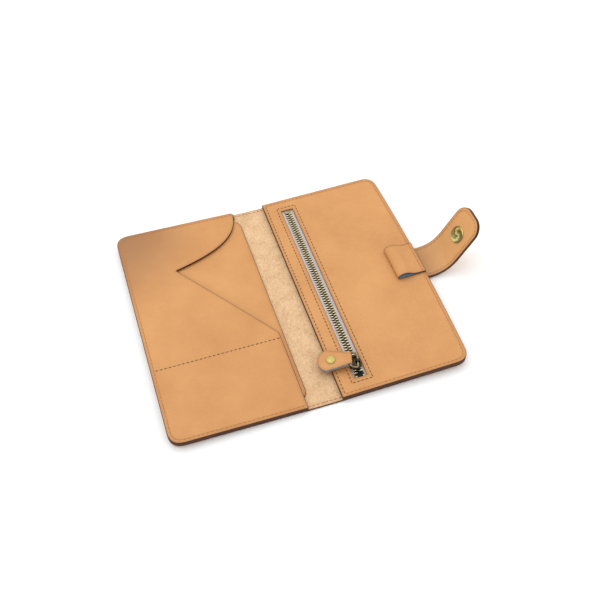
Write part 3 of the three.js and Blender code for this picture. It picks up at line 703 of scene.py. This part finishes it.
# The cord's near-black colour is painted shade for the gaps between the zip's teeth.
CORD_SHADE_CLOTH = woven("zip_cord_shade", (0.020, 0.017, 0.013), (0.075, 0.062, 0.045), 0.5)
BLUE_CLOTH = woven("blue_lining", (0.09, 0.22, 0.38), (0.26, 0.46, 0.66), 0.5)
# The pocket lining's near-black colour is painted shade inside the zipped pocket, seen between the
# parted tapes.
POCKET_SHADE_CLOTH = woven("pocket_lining", (0.007, 0.010, 0.014), (0.028, 0.036, 0.046), 0.5)
TOOTH_BRASS = brass("tooth_brass", (0.42, 0.34, 0.20), (0.86, 0.76, 0.54), 0.26, 3.2, 4.2)
NUB_BRASS = brass("tooth_nub_brass", (0.12, 0.09, 0.045), (0.44, 0.35, 0.19), 0.33, 3.3, 4.2)
BRIGHT_BRASS = brass("bright_brass", (0.50, 0.41, 0.10), (0.80, 0.70, 0.27), 0.24)
CAP_BRASS = brass("cap_brass", (0.30, 0.235, 0.065), (0.54, 0.45, 0.16), 0.38)
# Near-black: the slider's own dark brass, made darker still as painted shade so the hole under the link
# reads black.
DARK_BRASS_AND_SHADE = brass("dark_brass", (0.010, 0.008, 0.005), (0.065, 0.05, 0.026), 0.24)
WIRE_BRASS = brass("wire_brass", (0.07, 0.052, 0.025), (0.42, 0.34, 0.19), 0.18)
SWIRL_REFLECTION_BRASS = brass("brass_painted_swirl_reflection", (0.46, 0.40, 0.09), (0.80, 0.74, 0.32), 0.2, swirl=True)
LEATHER_LOOKS = (GRAIN, EDGE, FLESH)
HIDE_LOOKS = (FLESH, EDGE, GRAIN)

# ---- Stitches


def stitch_template(length):
    """One two-ply thread that comes up out of a hole, lies on the leather and goes down the next."""
    sides, rings = 8, 9
    points = []
    for k in range(rings):
        t = k / (rings - 1)
        rise = 0.36 * sin(pi * t) ** 0.6 - 0.30
        thick = 0.24 + 0.11 * sin(pi * t) ** 0.5
        for turn in circle(sides):
            radius = thick * (1 + 0.12 * cos(2 * turn + 9 * t))
            points.append(((t - 0.5) * length, radius * cos(turn), rise + radius * sin(turn)))

    def tube(start, rows):
        faces = []
        for k in range(rows - 1):
            for n in range(sides):
                low = start + k * sides
                m = (n + 1) % sides
                faces.append([low + n, low + m, low + sides + m, low + sides + n])
        return faces

    faces = tube(0, rings)
    faces += [list(range(sides)), list(range((rings - 1) * sides, rings * sides))]
    looks = [0] * len(faces)
    # Past the thread's end, a dark blob of painted shade stands for the awl hole it goes into.
    start = len(points)
    for across, height in ((1.0, -0.06), (0.8, 0.04), (0.35, 0.075)):
        for turn in circle(sides):
            points.append((length / 2 + 0.42 + 0.36 * across * cos(turn),
                           0.30 * across * sin(turn), height))
    faces += tube(start, 3)
    end = len(points)
    faces += [list(range(start, start + sides))[::-1], list(range(end - sides, end))]
    return np.array(points), faces, looks + [1] * (len(faces) - len(looks))


def rows_of_stitches(name, rows, place, shape=None, seed=1, bold=False):
    """rows are (points of a line, surface height, 1 for a row seen from above or -1 from below). Bold
    rows have short stitches of dark thread, and the others long ones close to the leather's colour."""
    chance = random.Random(seed)
    bodies = []
    template, faces, looks = stitch_template(STITCH_PITCH * (0.56 if bold else 0.68))
    for line, surface, side in rows:
        line = np.array(line, float)
        travelled = travelled_along(line)
        count = max(1, round(travelled[-1] / STITCH_PITCH))
        pitch = travelled[-1] / count
        for n in range(count):
            middle = (n + 0.5) * pitch
            near, far = (np.array([np.interp(middle + d, travelled, line[:, k]) for k in (0, 1)])
                         for d in (-1, 1))
            angle = atan2(*(far - near)[::-1]) + radians(4 + chance.uniform(-2.5, 2.5))
            centre = (near + far) / 2
            lift = surface + side * chance.uniform(-0.03, 0.03)

            def put(points, angle=angle, centre=centre, lift=lift, side=side):
                run, rise = cos(angle), sin(angle)
                x = points[:, 0] * run - points[:, 1] * rise
                y = points[:, 0] * rise + points[:, 1] * run
                return np.column_stack([centre[0] + x, centre[1] + y, lift + side * points[:, 2]])

            bodies.append(put)
    # Each stitch's second look is the painted shade in its holes.
    thread_looks = (DARK_THREAD, DARK_AWL_SHADE) if bold else (THREAD, AWL_SHADE)
    return many(name, (template, faces), bodies, thread_looks, place, shape, looks)


def sew(name, rows, half, shape, seed, *nodes, bold=False):
    """A seam that rides on one half."""
    place = on_left if half == "left_half" else on_right
    ride(rows_of_stitches(name, rows, place, shape, seed, bold), half, "thread", *nodes)


def both_faces(line, top, under):
    return [(line, top, 1), (line, under, -1)]


# ---- Shapes that soft leather takes


def share(values, low, high):
    return np.clip((values - low) / (high - low), 0, 1)


def shifted(points, axis, amount):
    result = points.copy()
    result[:, axis] += amount
    return result


def puff_left(points):
    """The card pockets are sewn on three sides and stand open a little towards the spine."""
    x = points[:, 0]
    opening = smoothstep(x, 4 - HALF_WIDTH, -45)
    upper = share(points[:, 1], DIVIDER_Y, half_length - 3)
    lower = share(points[:, 1], 3 - half_length, DIVIDER_Y)
    lift = opening * (0.75 * np.sin(np.pi * upper) ** 0.9 + 0.35 * np.sin(np.pi * lower) ** 0.9)
    return shifted(points, 2, lift)


def puff_right(points):
    """The zipped pocket's panel is slightly full between the zip and the fore-edge."""
    across = share(points[:, 0], 41, 92)
    up = share(points[:, 1], 4 - half_length, half_length - 4)
    return shifted(points, 2, 0.45 * np.sin(np.pi * across) ** 1.5 * np.sin(np.pi * up) ** 1.2)


# ---- The hide: left cover, spine, right cover


def hinge_at_fold(piece, side, slot, *nodes):
    """Bakes a side of the hide in place and hides its CAD parts; the ends of its fold are passed on
    unused.
    """
    far, near = (Vector((side * (FOLD_X + soft) * MM, 0, LEATHER * MM))
                 for soft in (FOLD_SOFT, -FOLD_SOFT))
    hinge(piece, "left_half" if side < 0 else "right_half", "spine", far, near, slot, *nodes)


def make_hide():
    outline = half_outline(1, 0)[1:-1] + half_outline(-1, 0)[1:-1]
    soft = FOLD_X + FOLD_SOFT
    bends = [(-soft, soft - 2 * FOLD_X, 0.7), (2 * FOLD_X - soft, soft, 0.7)]
    for name, keep, nodes in (
        ("cover_hide_left", -1, ("cover_left", "cover_spine")),
        ("cover_hide_right", 1, ("cover_right",)),
    ):
        bm = plate_mesh(outline, 0, LEATHER, crease=CREASE, bends=bends)
        cut_mesh(bm, 0, 0, keep)
        piece = build(name, bm, HIDE_LOOKS, on_hide, edge=distance_to([outline]))
        hinge_at_fold(piece, keep, "flesh_leather", *nodes)


def spine_seam(keep):
    """The seam crosses the spine at both ends, on both faces of the hide."""
    rows = []
    for end in (-1, 1):
        y = end * (half_length - SEAM_INSET)
        line = [(keep * (ZIP_PANEL_X + 0.4), y), (0, y)]
        rows += both_faces(line, LEATHER, UNDER_SPINE_SEAM_Z)
    return rows


def make_spine_seams():
    for keep, name, node in ((-1, "left", "thread_spine_near"), (1, "right", "thread_spine_far")):
        piece = rows_of_stitches("stitches_spine_" + name, spine_seam(keep), on_hide, seed=5 + keep)
        hinge_at_fold(piece, keep, "thread", node)


# ---- Left half


def under_panel_outline():
    outer = HALF_WIDTH - GUSSET_WIDTH - 1
    radius = 9
    end = UNDER_PANEL_HALF
    inner = UNDER_PANEL_X
    points = [(-outer, -end), (-(inner + radius), -end)]
    curve(points, 8, (-inner, -end), (-inner, radius - end))
    points += [(-inner, end - radius)]
    curve(points, 8, (-inner, end), (-(inner + radius), end))
    return points + [(-outer, end)]


def front_panel_outline():
    """Counter-clockwise from the near end of the edge beside the spine."""
    x = -LEFT_PANEL_X
    end = half_length
    points = [(x, -end), (x, DIAGONAL_END_Y - 2.5)]
    curve(points, 5, (x, DIAGONAL_END_Y), (x - 1.5, DIAGONAL_END_Y + 2.2))
    points += [(-NOTCH[0], NOTCH[1])]
    curve(points, 30, (-38, 60), (-15.5, 72), (x - 0.5, end - 2))
    curve(points, 4, (x - 0.6, end), (x - 2.6, end))
    return points + half_outline(-1, 0)[1:-1]


def make_left_half():
    outer = half_outline(-1, LEFT_PANEL_X)
    inner = half_outline(-1, LEFT_PANEL_X, GUSSET_WIDTH)
    strip = outer + list(reversed(inner))
    ride(plate("card_pocket_gusset_strip", strip, *LEFT_GUSSET_Z, EDGE, on_left, grid=12),
         "left_half", "edge_leather", "card_pocket_gusset")
    ride(plate("card_pocket_under", under_panel_outline(), *UNDER_PANEL_Z, LEATHER_LOOKS, on_left,
               crease=CREASE), "left_half", "grain_leather", "card_panel_under")
    place = then(puff_left, on_left)
    front_looks = (SHADED_CORNER_GRAIN, EDGE, FLESH)
    ride(plate("card_pocket_front", front_panel_outline(), *FRONT_PANEL_Z, front_looks, place,
               crease=CREASE, rounding=0.35, grid=4), "left_half", "grain_leather", "card_panel_front")
    seam = half_outline(-1, LEFT_PANEL_X + 1.6, SEAM_INSET)
    top = FRONT_PANEL_Z[1]
    sew("stitches_left_edge", both_faces(seam, top, UNDER_SEAM_Z), "left_half", puff_left, 11,
        "thread_left_edge")
    divider = [(-(HALF_WIDTH - SEAM_INSET - 0.3), DIVIDER_Y - 0.6),
               (-(LEFT_PANEL_X + 0.8), DIVIDER_Y + 0.6)]
    sew("stitches_divider", both_faces(divider, top, UNDER_SEAM_Z), "left_half", puff_left, 12,
        "thread_divider", bold=True)
    stud_place = by(left_matrix @ Matrix.Translation((-STUD_X, 0, 0)))
    stud = [(0, -2.0), (0.9, -2.0), (1.5, -1.85), (1.9, -1.6), (1.75, -1.4), (1.4, -1.2), (1.4, -0.6),
            (1.6, -0.42), (4.6, -0.42), (4.9, -0.35), (5.0, -0.2), (4.9, -0.05), (0, -0.05)]
    post = [(0, 0), (1.3, 0), (1.3, 0.85), (3.9, 0.85), (4.0, 1.0), (3.9, 1.35), (0, 1.35)]
    for name, profile, node in (("snap_stud_turned", stud, "snap_stud"),
                                ("snap_stud_rivet", post, "snap_stud_post")):
        ride(turned(name, profile, BRIGHT_BRASS, stud_place), "left_half", "bright_brass", node)


# ---- Right half


def tape_parting(y):
    """How far the zip's two sides stand apart below the slider."""
    return 1.5 * smoothstep(-y, -SLIDER_Y + 1, WINDOW[1] - 1)


def parted(side):
    return lambda points: shifted(points, 0, side * tape_parting(points[:, 1]))


def tooth_template(side):
    """A brass tooth: a rounded bar on the tape's cord, with a nub that locks into the other side."""
    bar, bar_faces = rounded_box((2.6, 1.0, 1.6), 0.40)
    bar = bar + np.array([-1.66, 0, TOOTH_Z])
    bar[:, 2] += 0.10 * np.cos((bar[:, 0] + 1.6) * 1.1) * (bar[:, 2] > TOOTH_Z)
    nub, nub_faces = rounded_box((1.3, 0.94, 1.2), 0.42)
    nub = nub + np.array([-0.1, 0, 3.45])
    points = np.concatenate([bar, nub]) * np.array([-side, 1, 1])
    faces = bar_faces + [[i + len(bar) for i in face] for face in nub_faces]
    return points, faces, [0] * len(bar_faces) + [1] * len(nub_faces)


def make_zip():
    end = WINDOW[1] - 2.5
    count = int((2 * end - TOOTH_PITCH) / TOOTH_PITCH)
    for side, name in ((-1, "left"), (1, "right")):
        first = -count * TOOTH_PITCH / 2 + (TOOTH_PITCH / 2 if side > 0 else 0) + TOOTH_PITCH / 4
        spread = parted(side)
        places = [lambda points, y=first + n * TOOTH_PITCH: points + np.array([ZIP_X, y, 0])
                  for n in range(count)]
        *template, looks = tooth_template(side)
        ride(many("zip_tooth_row_" + name, template, places, (TOOTH_BRASS, NUB_BRASS), on_right, spread,
                  looks), "right_half", "tooth_brass", "zip_teeth_" + name)
        near, far = sorted((ZIP_X + side * 1.5, ZIP_X + side * 11))
        length = WINDOW_SEAM[1] + 1.5
        tape = rectangle(near, far, -length, length)
        ride(plate("zip_tape_cloth_" + name, tape, *TAPE_Z, TAPE_CLOTH, then(spread, on_right),
                   rounding=0.12, grid=2.0), "right_half", "zip_tape", "zip_tape_" + name)
        cord = [(ZIP_X + side * 1.9, y, CORD_Z) for y in np.linspace(-length + 1, length - 1, 150)]
        ride(wire("zip_cord_shade_" + name, cord, 0.62, CORD_SHADE_CLOTH, then(spread, on_right), closed=False),
             "right_half", "zip_tape")
        centre = (ZIP_X + side * 1.4, 3.2 - 2.2 - WINDOW[1], STOP_MIDDLE_Z)
        ride(block("zip_bottom_stop_" + name, (2.0, 2.0, 1.8), 0.35, centre, NUB_BRASS, on_right,
                   spread), "right_half", "tooth_brass", "zip_near_stop_" + name)
    centre = (ZIP_X, WINDOW[1] - 1.8, STOP_MIDDLE_Z)
    ride(block("zip_top_stop", (4.8, 3.6, 1.7), 0.4, centre, NUB_BRASS, on_right),
         "right_half", "tooth_brass", "zip_far_stop")


def loop_path():
    """The pen loop's inner face, from the fore-edge round the fold and back."""
    low = LOOP_BASE + LOOP_LEATHER + LOOP_GAP
    edge = HALF_WIDTH + FORE_EDGE_BOW - 0.3
    points = [(edge, low), (104, low), (97, low)]
    curve(points, 14, (93, low), (91.5, low), (91.6, low + 0.9))
    curve(points, 14, (91.9, low + 2.6), (94.8, low + 4.2), (98, low + 3.7))
    curve(points, 14, (101.5, low + 3.1), (103.5, low + 0.45), (107.5, low + 0.3))
    return points + [(edge, low + 0.3)]


def make_pen_loop():
    path = along(loop_path())
    near, far = LOOP_CENTRE_Y - LOOP_LENGTH / 2, LOOP_CENTRE_Y + LOOP_LENGTH / 2
    outline = rectangle(0, path.length, near, far)
    bends = [(8, 34, 0.6)]
    place = then(path, on_right)
    ride(plate("pen_loop_leather", outline, 0, LOOP_LEATHER, LEATHER_LOOKS, place, rounding=0.22,
               grid=3, bends=bends, crease=CREASE), "right_half", "grain_leather", "pen_loop")
    lining = rectangle(0.2, path.length - 0.2, near + 0.25, far - 0.25)
    ride(plate("pen_loop_blue_lining", lining, -0.22, -0.02, BLUE_CLOTH, place, rounding=0.08, grid=3,
               bends=bends), "right_half", "blue_lining")
    x = HALF_WIDTH + FORE_EDGE_BOW - SEAM_INSET - 0.2
    row = [(x, near + 0.8), (x, far - 0.8)]
    top = LOOP_BASE + 2 * LOOP_LEATHER + 0.55
    sew("stitches_pen_loop", [(row, top, 1)], "right_half", None, 21, "thread_pen_loop")


def split_at_loop(line):
    """The fore-edge seam in two runs, one each side of the pen loop."""
    half = LOOP_LENGTH / 2 + 0.4
    beside = HALF_WIDTH - 5
    dense = []
    for (x0, y0), (x1, y1) in zip(line, line[1:]):
        steps = max(1, int(hypot(x1 - x0, y1 - y0)))
        dense += [(x0 + (x1 - x0) * k / steps, y0 + (y1 - y0) * k / steps) for k in range(steps)]
    dense.append(line[-1])
    clear = [(x, y) for x, y in dense if x <= beside or abs(y - LOOP_CENTRE_Y) >= half]
    return [p for p in clear if p[1] < LOOP_CENTRE_Y], [p for p in clear if p[1] > LOOP_CENTRE_Y]


def make_right_half():
    cloth = half_outline(1, ZIP_PANEL_X + 1, 1)
    # The lining under the zip panel is coloured as painted shade.
    ride(plate("zip_pocket_cloth", cloth, *LINING_Z, POCKET_SHADE_CLOTH, on_right, rounding=0.08, grid=10),
         "right_half", "blue_lining", "zip_pocket_lining")
    inner = half_outline(1, ZIP_PANEL_X + GUSSET_WIDTH, GUSSET_WIDTH)
    outline = half_outline(1, ZIP_PANEL_X)
    ride(plate("zip_pocket_gusset_strip", outline, *RIGHT_GUSSET_Z, EDGE, on_right, holes=[inner],
               grid=12), "right_half", "edge_leather", "zip_pocket_gusset")
    window = rectangle(ZIP_X - WINDOW[0], ZIP_X + WINDOW[0], -WINDOW[1], WINDOW[1])
    ride(plate("zip_pocket_panel", outline, *ZIP_PANEL_Z, (*LEATHER_LOOKS, RAW_EDGE),
               then(puff_right, on_right), holes=[window], crease=CREASE, rounding=0.35, grid=4,
               hole_look=3), "right_half", "grain_leather", "zip_panel")
    top = ZIP_PANEL_Z[1]
    seam = half_outline(1, ZIP_PANEL_X + SEAM_INSET, SEAM_INSET)
    below, above = split_at_loop(seam)
    rows = [(below, top, 1), (above, top, 1), (seam, UNDER_SEAM_Z, -1)]
    sew("stitches_right_edge", rows, "right_half", puff_right, 31, "thread_right_edge")
    rows = both_faces([seam[-1], seam[0]], top, UNDER_SEAM_Z)
    sew("stitches_beside_spine", rows, "right_half", puff_right, 33, bold=True)
    half_x, half_y = WINDOW_SEAM
    box = rectangle(ZIP_X - half_x, ZIP_X + half_x, -half_y, half_y)
    rows = [(line, top, 1) for line in sides_of(box)]
    sew("stitches_zip_window", rows, "right_half", puff_right, 32, "thread_zip_window", bold=True)


# ---- Slider, link and pull tab


def slider_outline(grow=0.0):
    near = SLIDER_Y - 5.5 - grow
    far = SLIDER_Y + 5.5 + grow
    x = ZIP_X
    wide = 4.2 + grow
    points = [(x - 2.2, near), (x + 2.2, near)]
    curve(points, 8, (x + wide, near + 0.3), (x + wide, near + 3.2))
    curve(points, 6, (x + wide, far - 4), (x + wide - 0.7, far - 1.4))
    curve(points, 6, (x + wide - 1.0, far), (x + 2.2, far))
    return points + [(2 * x - px, py) for px, py in reversed(points[2:])]


def make_slider():
    ride(plate("slider_top_plate", slider_outline(), *SLIDER_UPPER_Z, DARK_BRASS_AND_SHADE, on_right,
               rounding=0.5, grid=1.5), "slider", "dark_brass", "slider_body")
    ride(plate("slider_lower_plate", slider_outline(-0.5), *SLIDER_LOWER_Z, DARK_BRASS_AND_SHADE, on_right,
               rounding=0.18, grid=3), "slider", "dark_brass")
    for side, name in ((-1, "left"), (1, "right")):
        centre = (ZIP_X + side * 3.75, SLIDER_Y + 0.2, 4.25)
        ride(block("slider_flange_" + name, (0.7, 7.6, 1.9), 0.25, centre, DARK_BRASS_AND_SHADE, on_right),
             "slider", "dark_brass")
    wedge = [(ZIP_X + x, SLIDER_Y + y)
             for x, y in ((-0.35, -5.0), (0.35, -5.0), (0.8, -3.6), (0, -1.0), (-0.8, -3.6))]
    ride(plate("slider_wedge", wedge, 2.2, 4.8, DARK_BRASS_AND_SHADE, on_right, rounding=0.15, grid=3),
         "slider", "dark_brass")

    place = by(swivel_matrix)
    foot = [(0, -0.5), (0.9, -0.5), (0.9, 0.05), (3.7, 0.05), (3.95, 0.15), (3.95, 0.35), (3.7, 0.48),
            (0, 0.5)]
    ride(turned("slider_bridge_foot", foot, DARK_BRASS_AND_SHADE, place), "swivel", "dark_brass", "slider_bridge")
    inner = 1.05
    arch = [(LINK_OFFSET - inner, 0.2)] + arc((LINK_OFFSET, LINK_PIVOT), inner, pi, 0, 20)
    path = along(arch + [(LINK_OFFSET + inner, 0.2)])
    strip = rectangle(0, path.length, -1.1, 1.1)
    ride(plate("slider_bridge_arch", strip, 0, 0.7, DARK_BRASS_AND_SHADE, then(path, place), rounding=0.25,
               grid=0.45), "swivel", "dark_brass")


def make_link():
    """A wire ring, wider than it is high, standing from the bridge to the tab's eye."""
    half = LINK_WIDTH / 2
    points = []
    for turn in circle(96):
        across = copysign(abs(cos(turn)) ** 0.5, cos(turn)) * half
        up = copysign(abs(sin(turn)) ** 0.5, sin(turn)) * LINK_HEIGHT / 2
        points.append((0, across, LINK_HEIGHT / 2 + up))
    ride(wire("pull_link_wire", points, LINK_WIRE + 0.05, WIRE_BRASS, by(link_matrix), sides=20),
         "link", "dark_brass", "pull_link")


def tab_path():
    """The tab's inner face: in along the upper layer, round the wire and out along the lower one."""
    bore = LINK_WIRE + 0.3
    upper = [(-TAB_LENGTH, 0.05), (-2.9, 0.05)]
    curve(upper, 10, (-1.8, 0.05), (-1.1, bore), (0, bore))
    bend = arc((0, 0), bore, pi / 2, -pi / 2, 14)
    return upper + bend[1:] + [(x, -z) for x, z in reversed(upper)][1:]


def thinned_eye(middle):
    """The leather is pared thinner where it folds round the wire."""
    def move(points):
        near = 1 - smoothstep(np.abs(points[:, 0] - middle), 2.0, 7.0)
        height = points[:, 2] * (1 + near * (TAB_EYE_LAYER / TAB_LAYER - 1))
        return np.column_stack([points[:, 0], points[:, 1], height])
    return move


def make_tab():
    path = along(tab_path())
    middle = path.length / 2
    centre = middle - TAB_RADIUS
    touch = acos((TAB_RADIUS - TAB_NECK / 2) / centre)
    far_end = arc((middle + centre, 0), TAB_RADIUS, -touch, touch, 40)
    near_end = [(2 * middle - x, -y) for x, y in far_end]
    outline = far_end + [(middle, TAB_NECK / 2)] + near_end + [(middle, -TAB_NECK / 2)]
    place = then(thinned_eye(middle), then(path, by(tab_matrix)))
    bends = [(middle - 5, middle + 5, 0.3)]
    ride(plate("pull_tab_leather", outline, 0, TAB_LAYER, (GRAIN, TAB_EDGE, FLESH), place,
               crease=CREASE, grid=2, bends=bends), "tab", "grain_leather", "pull_tab")
    rivet_place = by(tab_matrix @ Matrix.Translation((RIVET_X, 0, 0)))
    cap = [(0, 0.6), (1.2, 0.6), (1.2, 1.3), (3.2, 1.3), (3.5, 1.45), (3.52, 1.65), (3.35, 1.95),
           (3.0, 2.1), (2.7, 2.0), (2.45, 1.82), (2.0, 1.85), (1.0, 2.0), (0, 2.05)]
    ride(turned("tab_rivet_head", cap, CAP_BRASS, rivet_place), "tab", "bright_brass", "tab_rivet_cap")
    base = [(0, -2.1), (2.4, -2.05), (3.0, -1.9), (3.2, -1.6), (3.1, -1.35), (1.2, -1.3), (1.2, 0.4),
            (0, 0.4)]
    ride(turned("tab_rivet_foot", base, BRIGHT_BRASS, rivet_place), "tab", "bright_brass",
         "tab_rivet_base")


# ---- Snap strap


def strap_path():
    """The strap's inner face from its root under the cover to its tip, in the flat right half."""
    step = 0.25
    x, z = STRAP_START_X + STRAP_ROOT, -0.15
    points = [(x, z)]
    for n in range(int((STRAP_LENGTH - STRAP_ROOT) / step) + 1):
        travelled = STRAP_ROOT + (n + 0.5) * step
        angle = STRAP_CURL * float(smoothstep(travelled, 0, STRAP_CURL_LENGTH))
        x += step * cos(angle)
        z += step * sin(angle)
        points.append((x, z))
    return points


strap_bend = along(strap_path())


def on_strap(points):
    """X is the distance from the cover's edge, Y runs across the strap, Z stands off its inner face."""
    x = points[:, 0]
    cupped = 0.35 * (points[:, 1] / STRAP_HALF_WIDTH) ** 2 * smoothstep(x, 6, 30)
    crease = 0.06 * np.exp(-((x - 13) / 1.2) ** 2) + 0.05 * np.exp(-((x - 19.5) / 1.0) ** 2)
    height = points[:, 2] + cupped - crease
    moved = np.column_stack([x - STRAP_ROOT, points[:, 1], height])
    return on_right(strap_bend(moved))


def strap_outline(inset=0.0):
    half = STRAP_HALF_WIDTH - inset
    radius = STRAP_END_RADIUS - inset
    end = STRAP_LENGTH - inset
    lower = arc((end - radius, -half + radius), radius, -pi / 2, 0, 16)
    upper = arc((end - radius, half - radius), radius, 0, pi / 2, 16)
    return [(STRAP_ROOT, -half), *lower, *upper, (STRAP_ROOT, half)]


def strap_piece(name, low, high, looks, keep):
    outline = strap_outline()
    bm = plate_mesh(outline, low, high, crease=CREASE, grid=3.0, bends=[(-4, STRAP_LENGTH - 8, 0.9)])
    cut_mesh(bm, 0, STRAP_SPLIT, keep)
    return build(name, bm, looks, on_strap, edge=distance_to([outline]))


def strap_point(distance):
    return Vector(on_strap(np.array([[distance, 0.0, 0.0]]))[0])


def hinge_strap(piece, keep, slot, *nodes):
    """Bakes the strap's base or tip in place and hides its CAD parts; the ends of its bend are passed
    on unused.
    """
    first, second, middle, reach = (
        ("right_half", "strap_base", 0, STRAP_ROOT_REACH) if keep < 0
        else ("strap_base", "strap_tip", STRAP_BEND, STRAP_BEND_REACH))
    hinge(piece, first, second, strap_point(middle - reach), strap_point(middle + reach), slot, *nodes)


def strap_seams(low):
    """Along both sides of the base and round its sewn root, and round the tip."""
    half = STRAP_HALF_WIDTH - SEAM_INSET
    base = []
    for y in (-half, half):
        base += both_faces([(STRAP_SEAM_START, y), (STRAP_SPLIT, y)], 0, low)
    root = rectangle(STRAP_ROOT + SEAM_INSET, -3.5, -half, half)
    base += [(line, low, -1) for line in sides_of(root)]
    line = strap_outline(SEAM_INSET)
    tip = [(STRAP_SPLIT, line[0][1]), *line[1:-1], (STRAP_SPLIT, line[-1][1])]
    return base, both_faces(tip, 0, low)


def make_strap():
    low = -2 * STRAP_LAYER - STRAP_LAYER_GAP
    layers = (("inner", "lining", -STRAP_LAYER, 0, (LIT_STRAP_GRAIN, EDGE, FLESH)),
              ("outer", "outer", low, -STRAP_LAYER - STRAP_LAYER_GAP / 2, (FLESH, EDGE, LIT_STRAP_GRAIN)))
    for keep, part in ((-1, "base"), (1, "tip")):
        for layer, node, bottom, top, looks in layers:
            nodes = ["strap_%s_%s" % (part, node)] + (["strap_root_" + node] if keep < 0 else [])
            piece = strap_piece("strap_%s_layer_%s" % (layer, part), bottom, top, looks, keep)
            hinge_strap(piece, keep, "grain_leather", *nodes)
    base, tip = strap_seams(low)
    for keep, part, rows, nodes in (
        (-1, "base", base, ("thread_strap_base_near", "thread_strap_base_far")),
        (1, "tip", tip, ("thread_strap_tip",)),
    ):
        piece = rows_of_stitches("stitches_strap_" + part, rows, on_strap, seed=41 + keep)
        hinge_strap(piece, keep, "thread", *nodes)
    make_snap(low)


def make_snap(outer_face):
    """The socket on the inner face is dished and swirled, and the cap covers the outer face."""
    middle = strap_point(SNAP_AT)
    ahead = (strap_point(SNAP_AT + 1) - strap_point(SNAP_AT - 1)).normalized()
    across = Vector((0, 1, 0))
    out = ahead.cross(across).normalized()
    frame_axes = Matrix((ahead * MM, across * MM, out * MM)).transposed().to_4x4()
    place = by(Matrix.Translation(middle) @ frame_axes)

    def swirl(radius, turn):
        strength = max(0.0, 1 - abs(radius - 3.4) / 2.6)
        wave = sin(2 * turn + SWIRL_TWIST * (radius - SWIRL_RADIUS))
        return SWIRL_HEIGHT * strength * wave

    floor, brim = 0.22, SNAP_RADIUS - 0.55
    dish = [(0, floor + 0.3), (0.5, floor + 0.28), (0.7, floor + 0.1), (0.95, floor)]
    dish += [(0.95 + (brim - 1) * n / 14, floor + 0.8 * (n / 14) ** 1.2) for n in range(1, 15)]
    rim = [(brim + 0.2, floor + 0.86), (brim + 0.42, floor + 0.75), (SNAP_RADIUS, 0.6),
           (SNAP_RADIUS, 0.15), (SNAP_RADIUS - 0.25, -0.05), (0, -0.3)]
    # The socket's swirl is rippled geometry and, in its colour, a painted reflection.
    ride(turned("snap_socket_dish", dish + rim, SWIRL_REFLECTION_BRASS, place, 96, swirl),
         "strap_tip", "bright_brass", "snap_socket")
    cap = [(0, -1.75), (2.0, -1.68), (4.0, -1.38), (5.6, -0.95), (6.4, -0.55), (6.72, -0.25),
           (6.7, -0.05), (0, 0)]
    cap = [(radius, z + outer_face) for radius, z in cap]
    ride(turned("snap_cap_dome", cap, BRIGHT_BRASS, place, 96), "strap_tip", "bright_brass", "snap_cap")


# ---- Room


def make_room():
    bpy.ops.mesh.primitive_grid_add(x_subdivisions=4, y_subdivisions=4, size=6,
                                    location=(0, 0, -0.0001))
    floor = bpy.context.object
    floor.name = "floor"
    pale = Surface("floor", Roughness=0.85, Specular_IOR_Level=0.1)
    pale.done(pale.ramp(pale.noise(2.0), (0.0, 0.93), (1.0, 0.95)))
    floor.data.materials.append(pale.material)

    world = bpy.data.worlds.new("studio")
    bpy.context.scene.world = world
    world.use_nodes = True
    background = world.node_tree.nodes["Background"].inputs
    background["Color"].default_value = (1.0, 1.0, 1.0, 1)
    background["Strength"].default_value = 0.93
    for name, place, size, power in (
        ("key", (-0.38, 0.42, 0.95), 1.3, 5.2),
        ("fill", (0.45, 0.18, 0.58), 1.0, 1.35),
    ):
        light = bpy.data.lights.new(name, "AREA")
        light.size = size
        light.energy = power
        lamp = bpy.data.objects.new(name, light)
        lamp.location = place
        lamp.rotation_euler = (-Vector(place)).to_track_quat("-Z", "Y").to_euler()
        bpy.context.scene.collection.objects.link(lamp)
    bpy.context.scene.view_settings.view_transform = "Standard"


def make_camera():
    """Above the near left of the wallet, looking down at it as in the picture it is made from."""
    azimuth, elevation, distance = radians(-18.416), radians(52.393), 0.654494
    back = Vector((sin(azimuth) * cos(elevation), -cos(azimuth) * cos(elevation),
                   sin(elevation)))
    lens = bpy.data.cameras.new("camera")
    lens.lens = 50
    lens.sensor_width = 36
    lens.clip_start = 0.01
    camera = bpy.data.objects.new("camera", lens)
    camera.location = Vector((0.012831, -0.003205, 0)) + back * distance
    camera.rotation_mode = "QUATERNION"
    camera.rotation_quaternion = (-back).to_track_quat("-Z", "Y")
    bpy.context.scene.collection.objects.link(camera)
    bpy.context.scene.camera = camera


for make in (make_camera, make_room, make_hide, make_spine_seams, make_left_half, make_right_half,
             make_zip, make_pen_loop, make_slider, make_link, make_tab, make_strap):
    make()

bpy.context.view_layer.update()
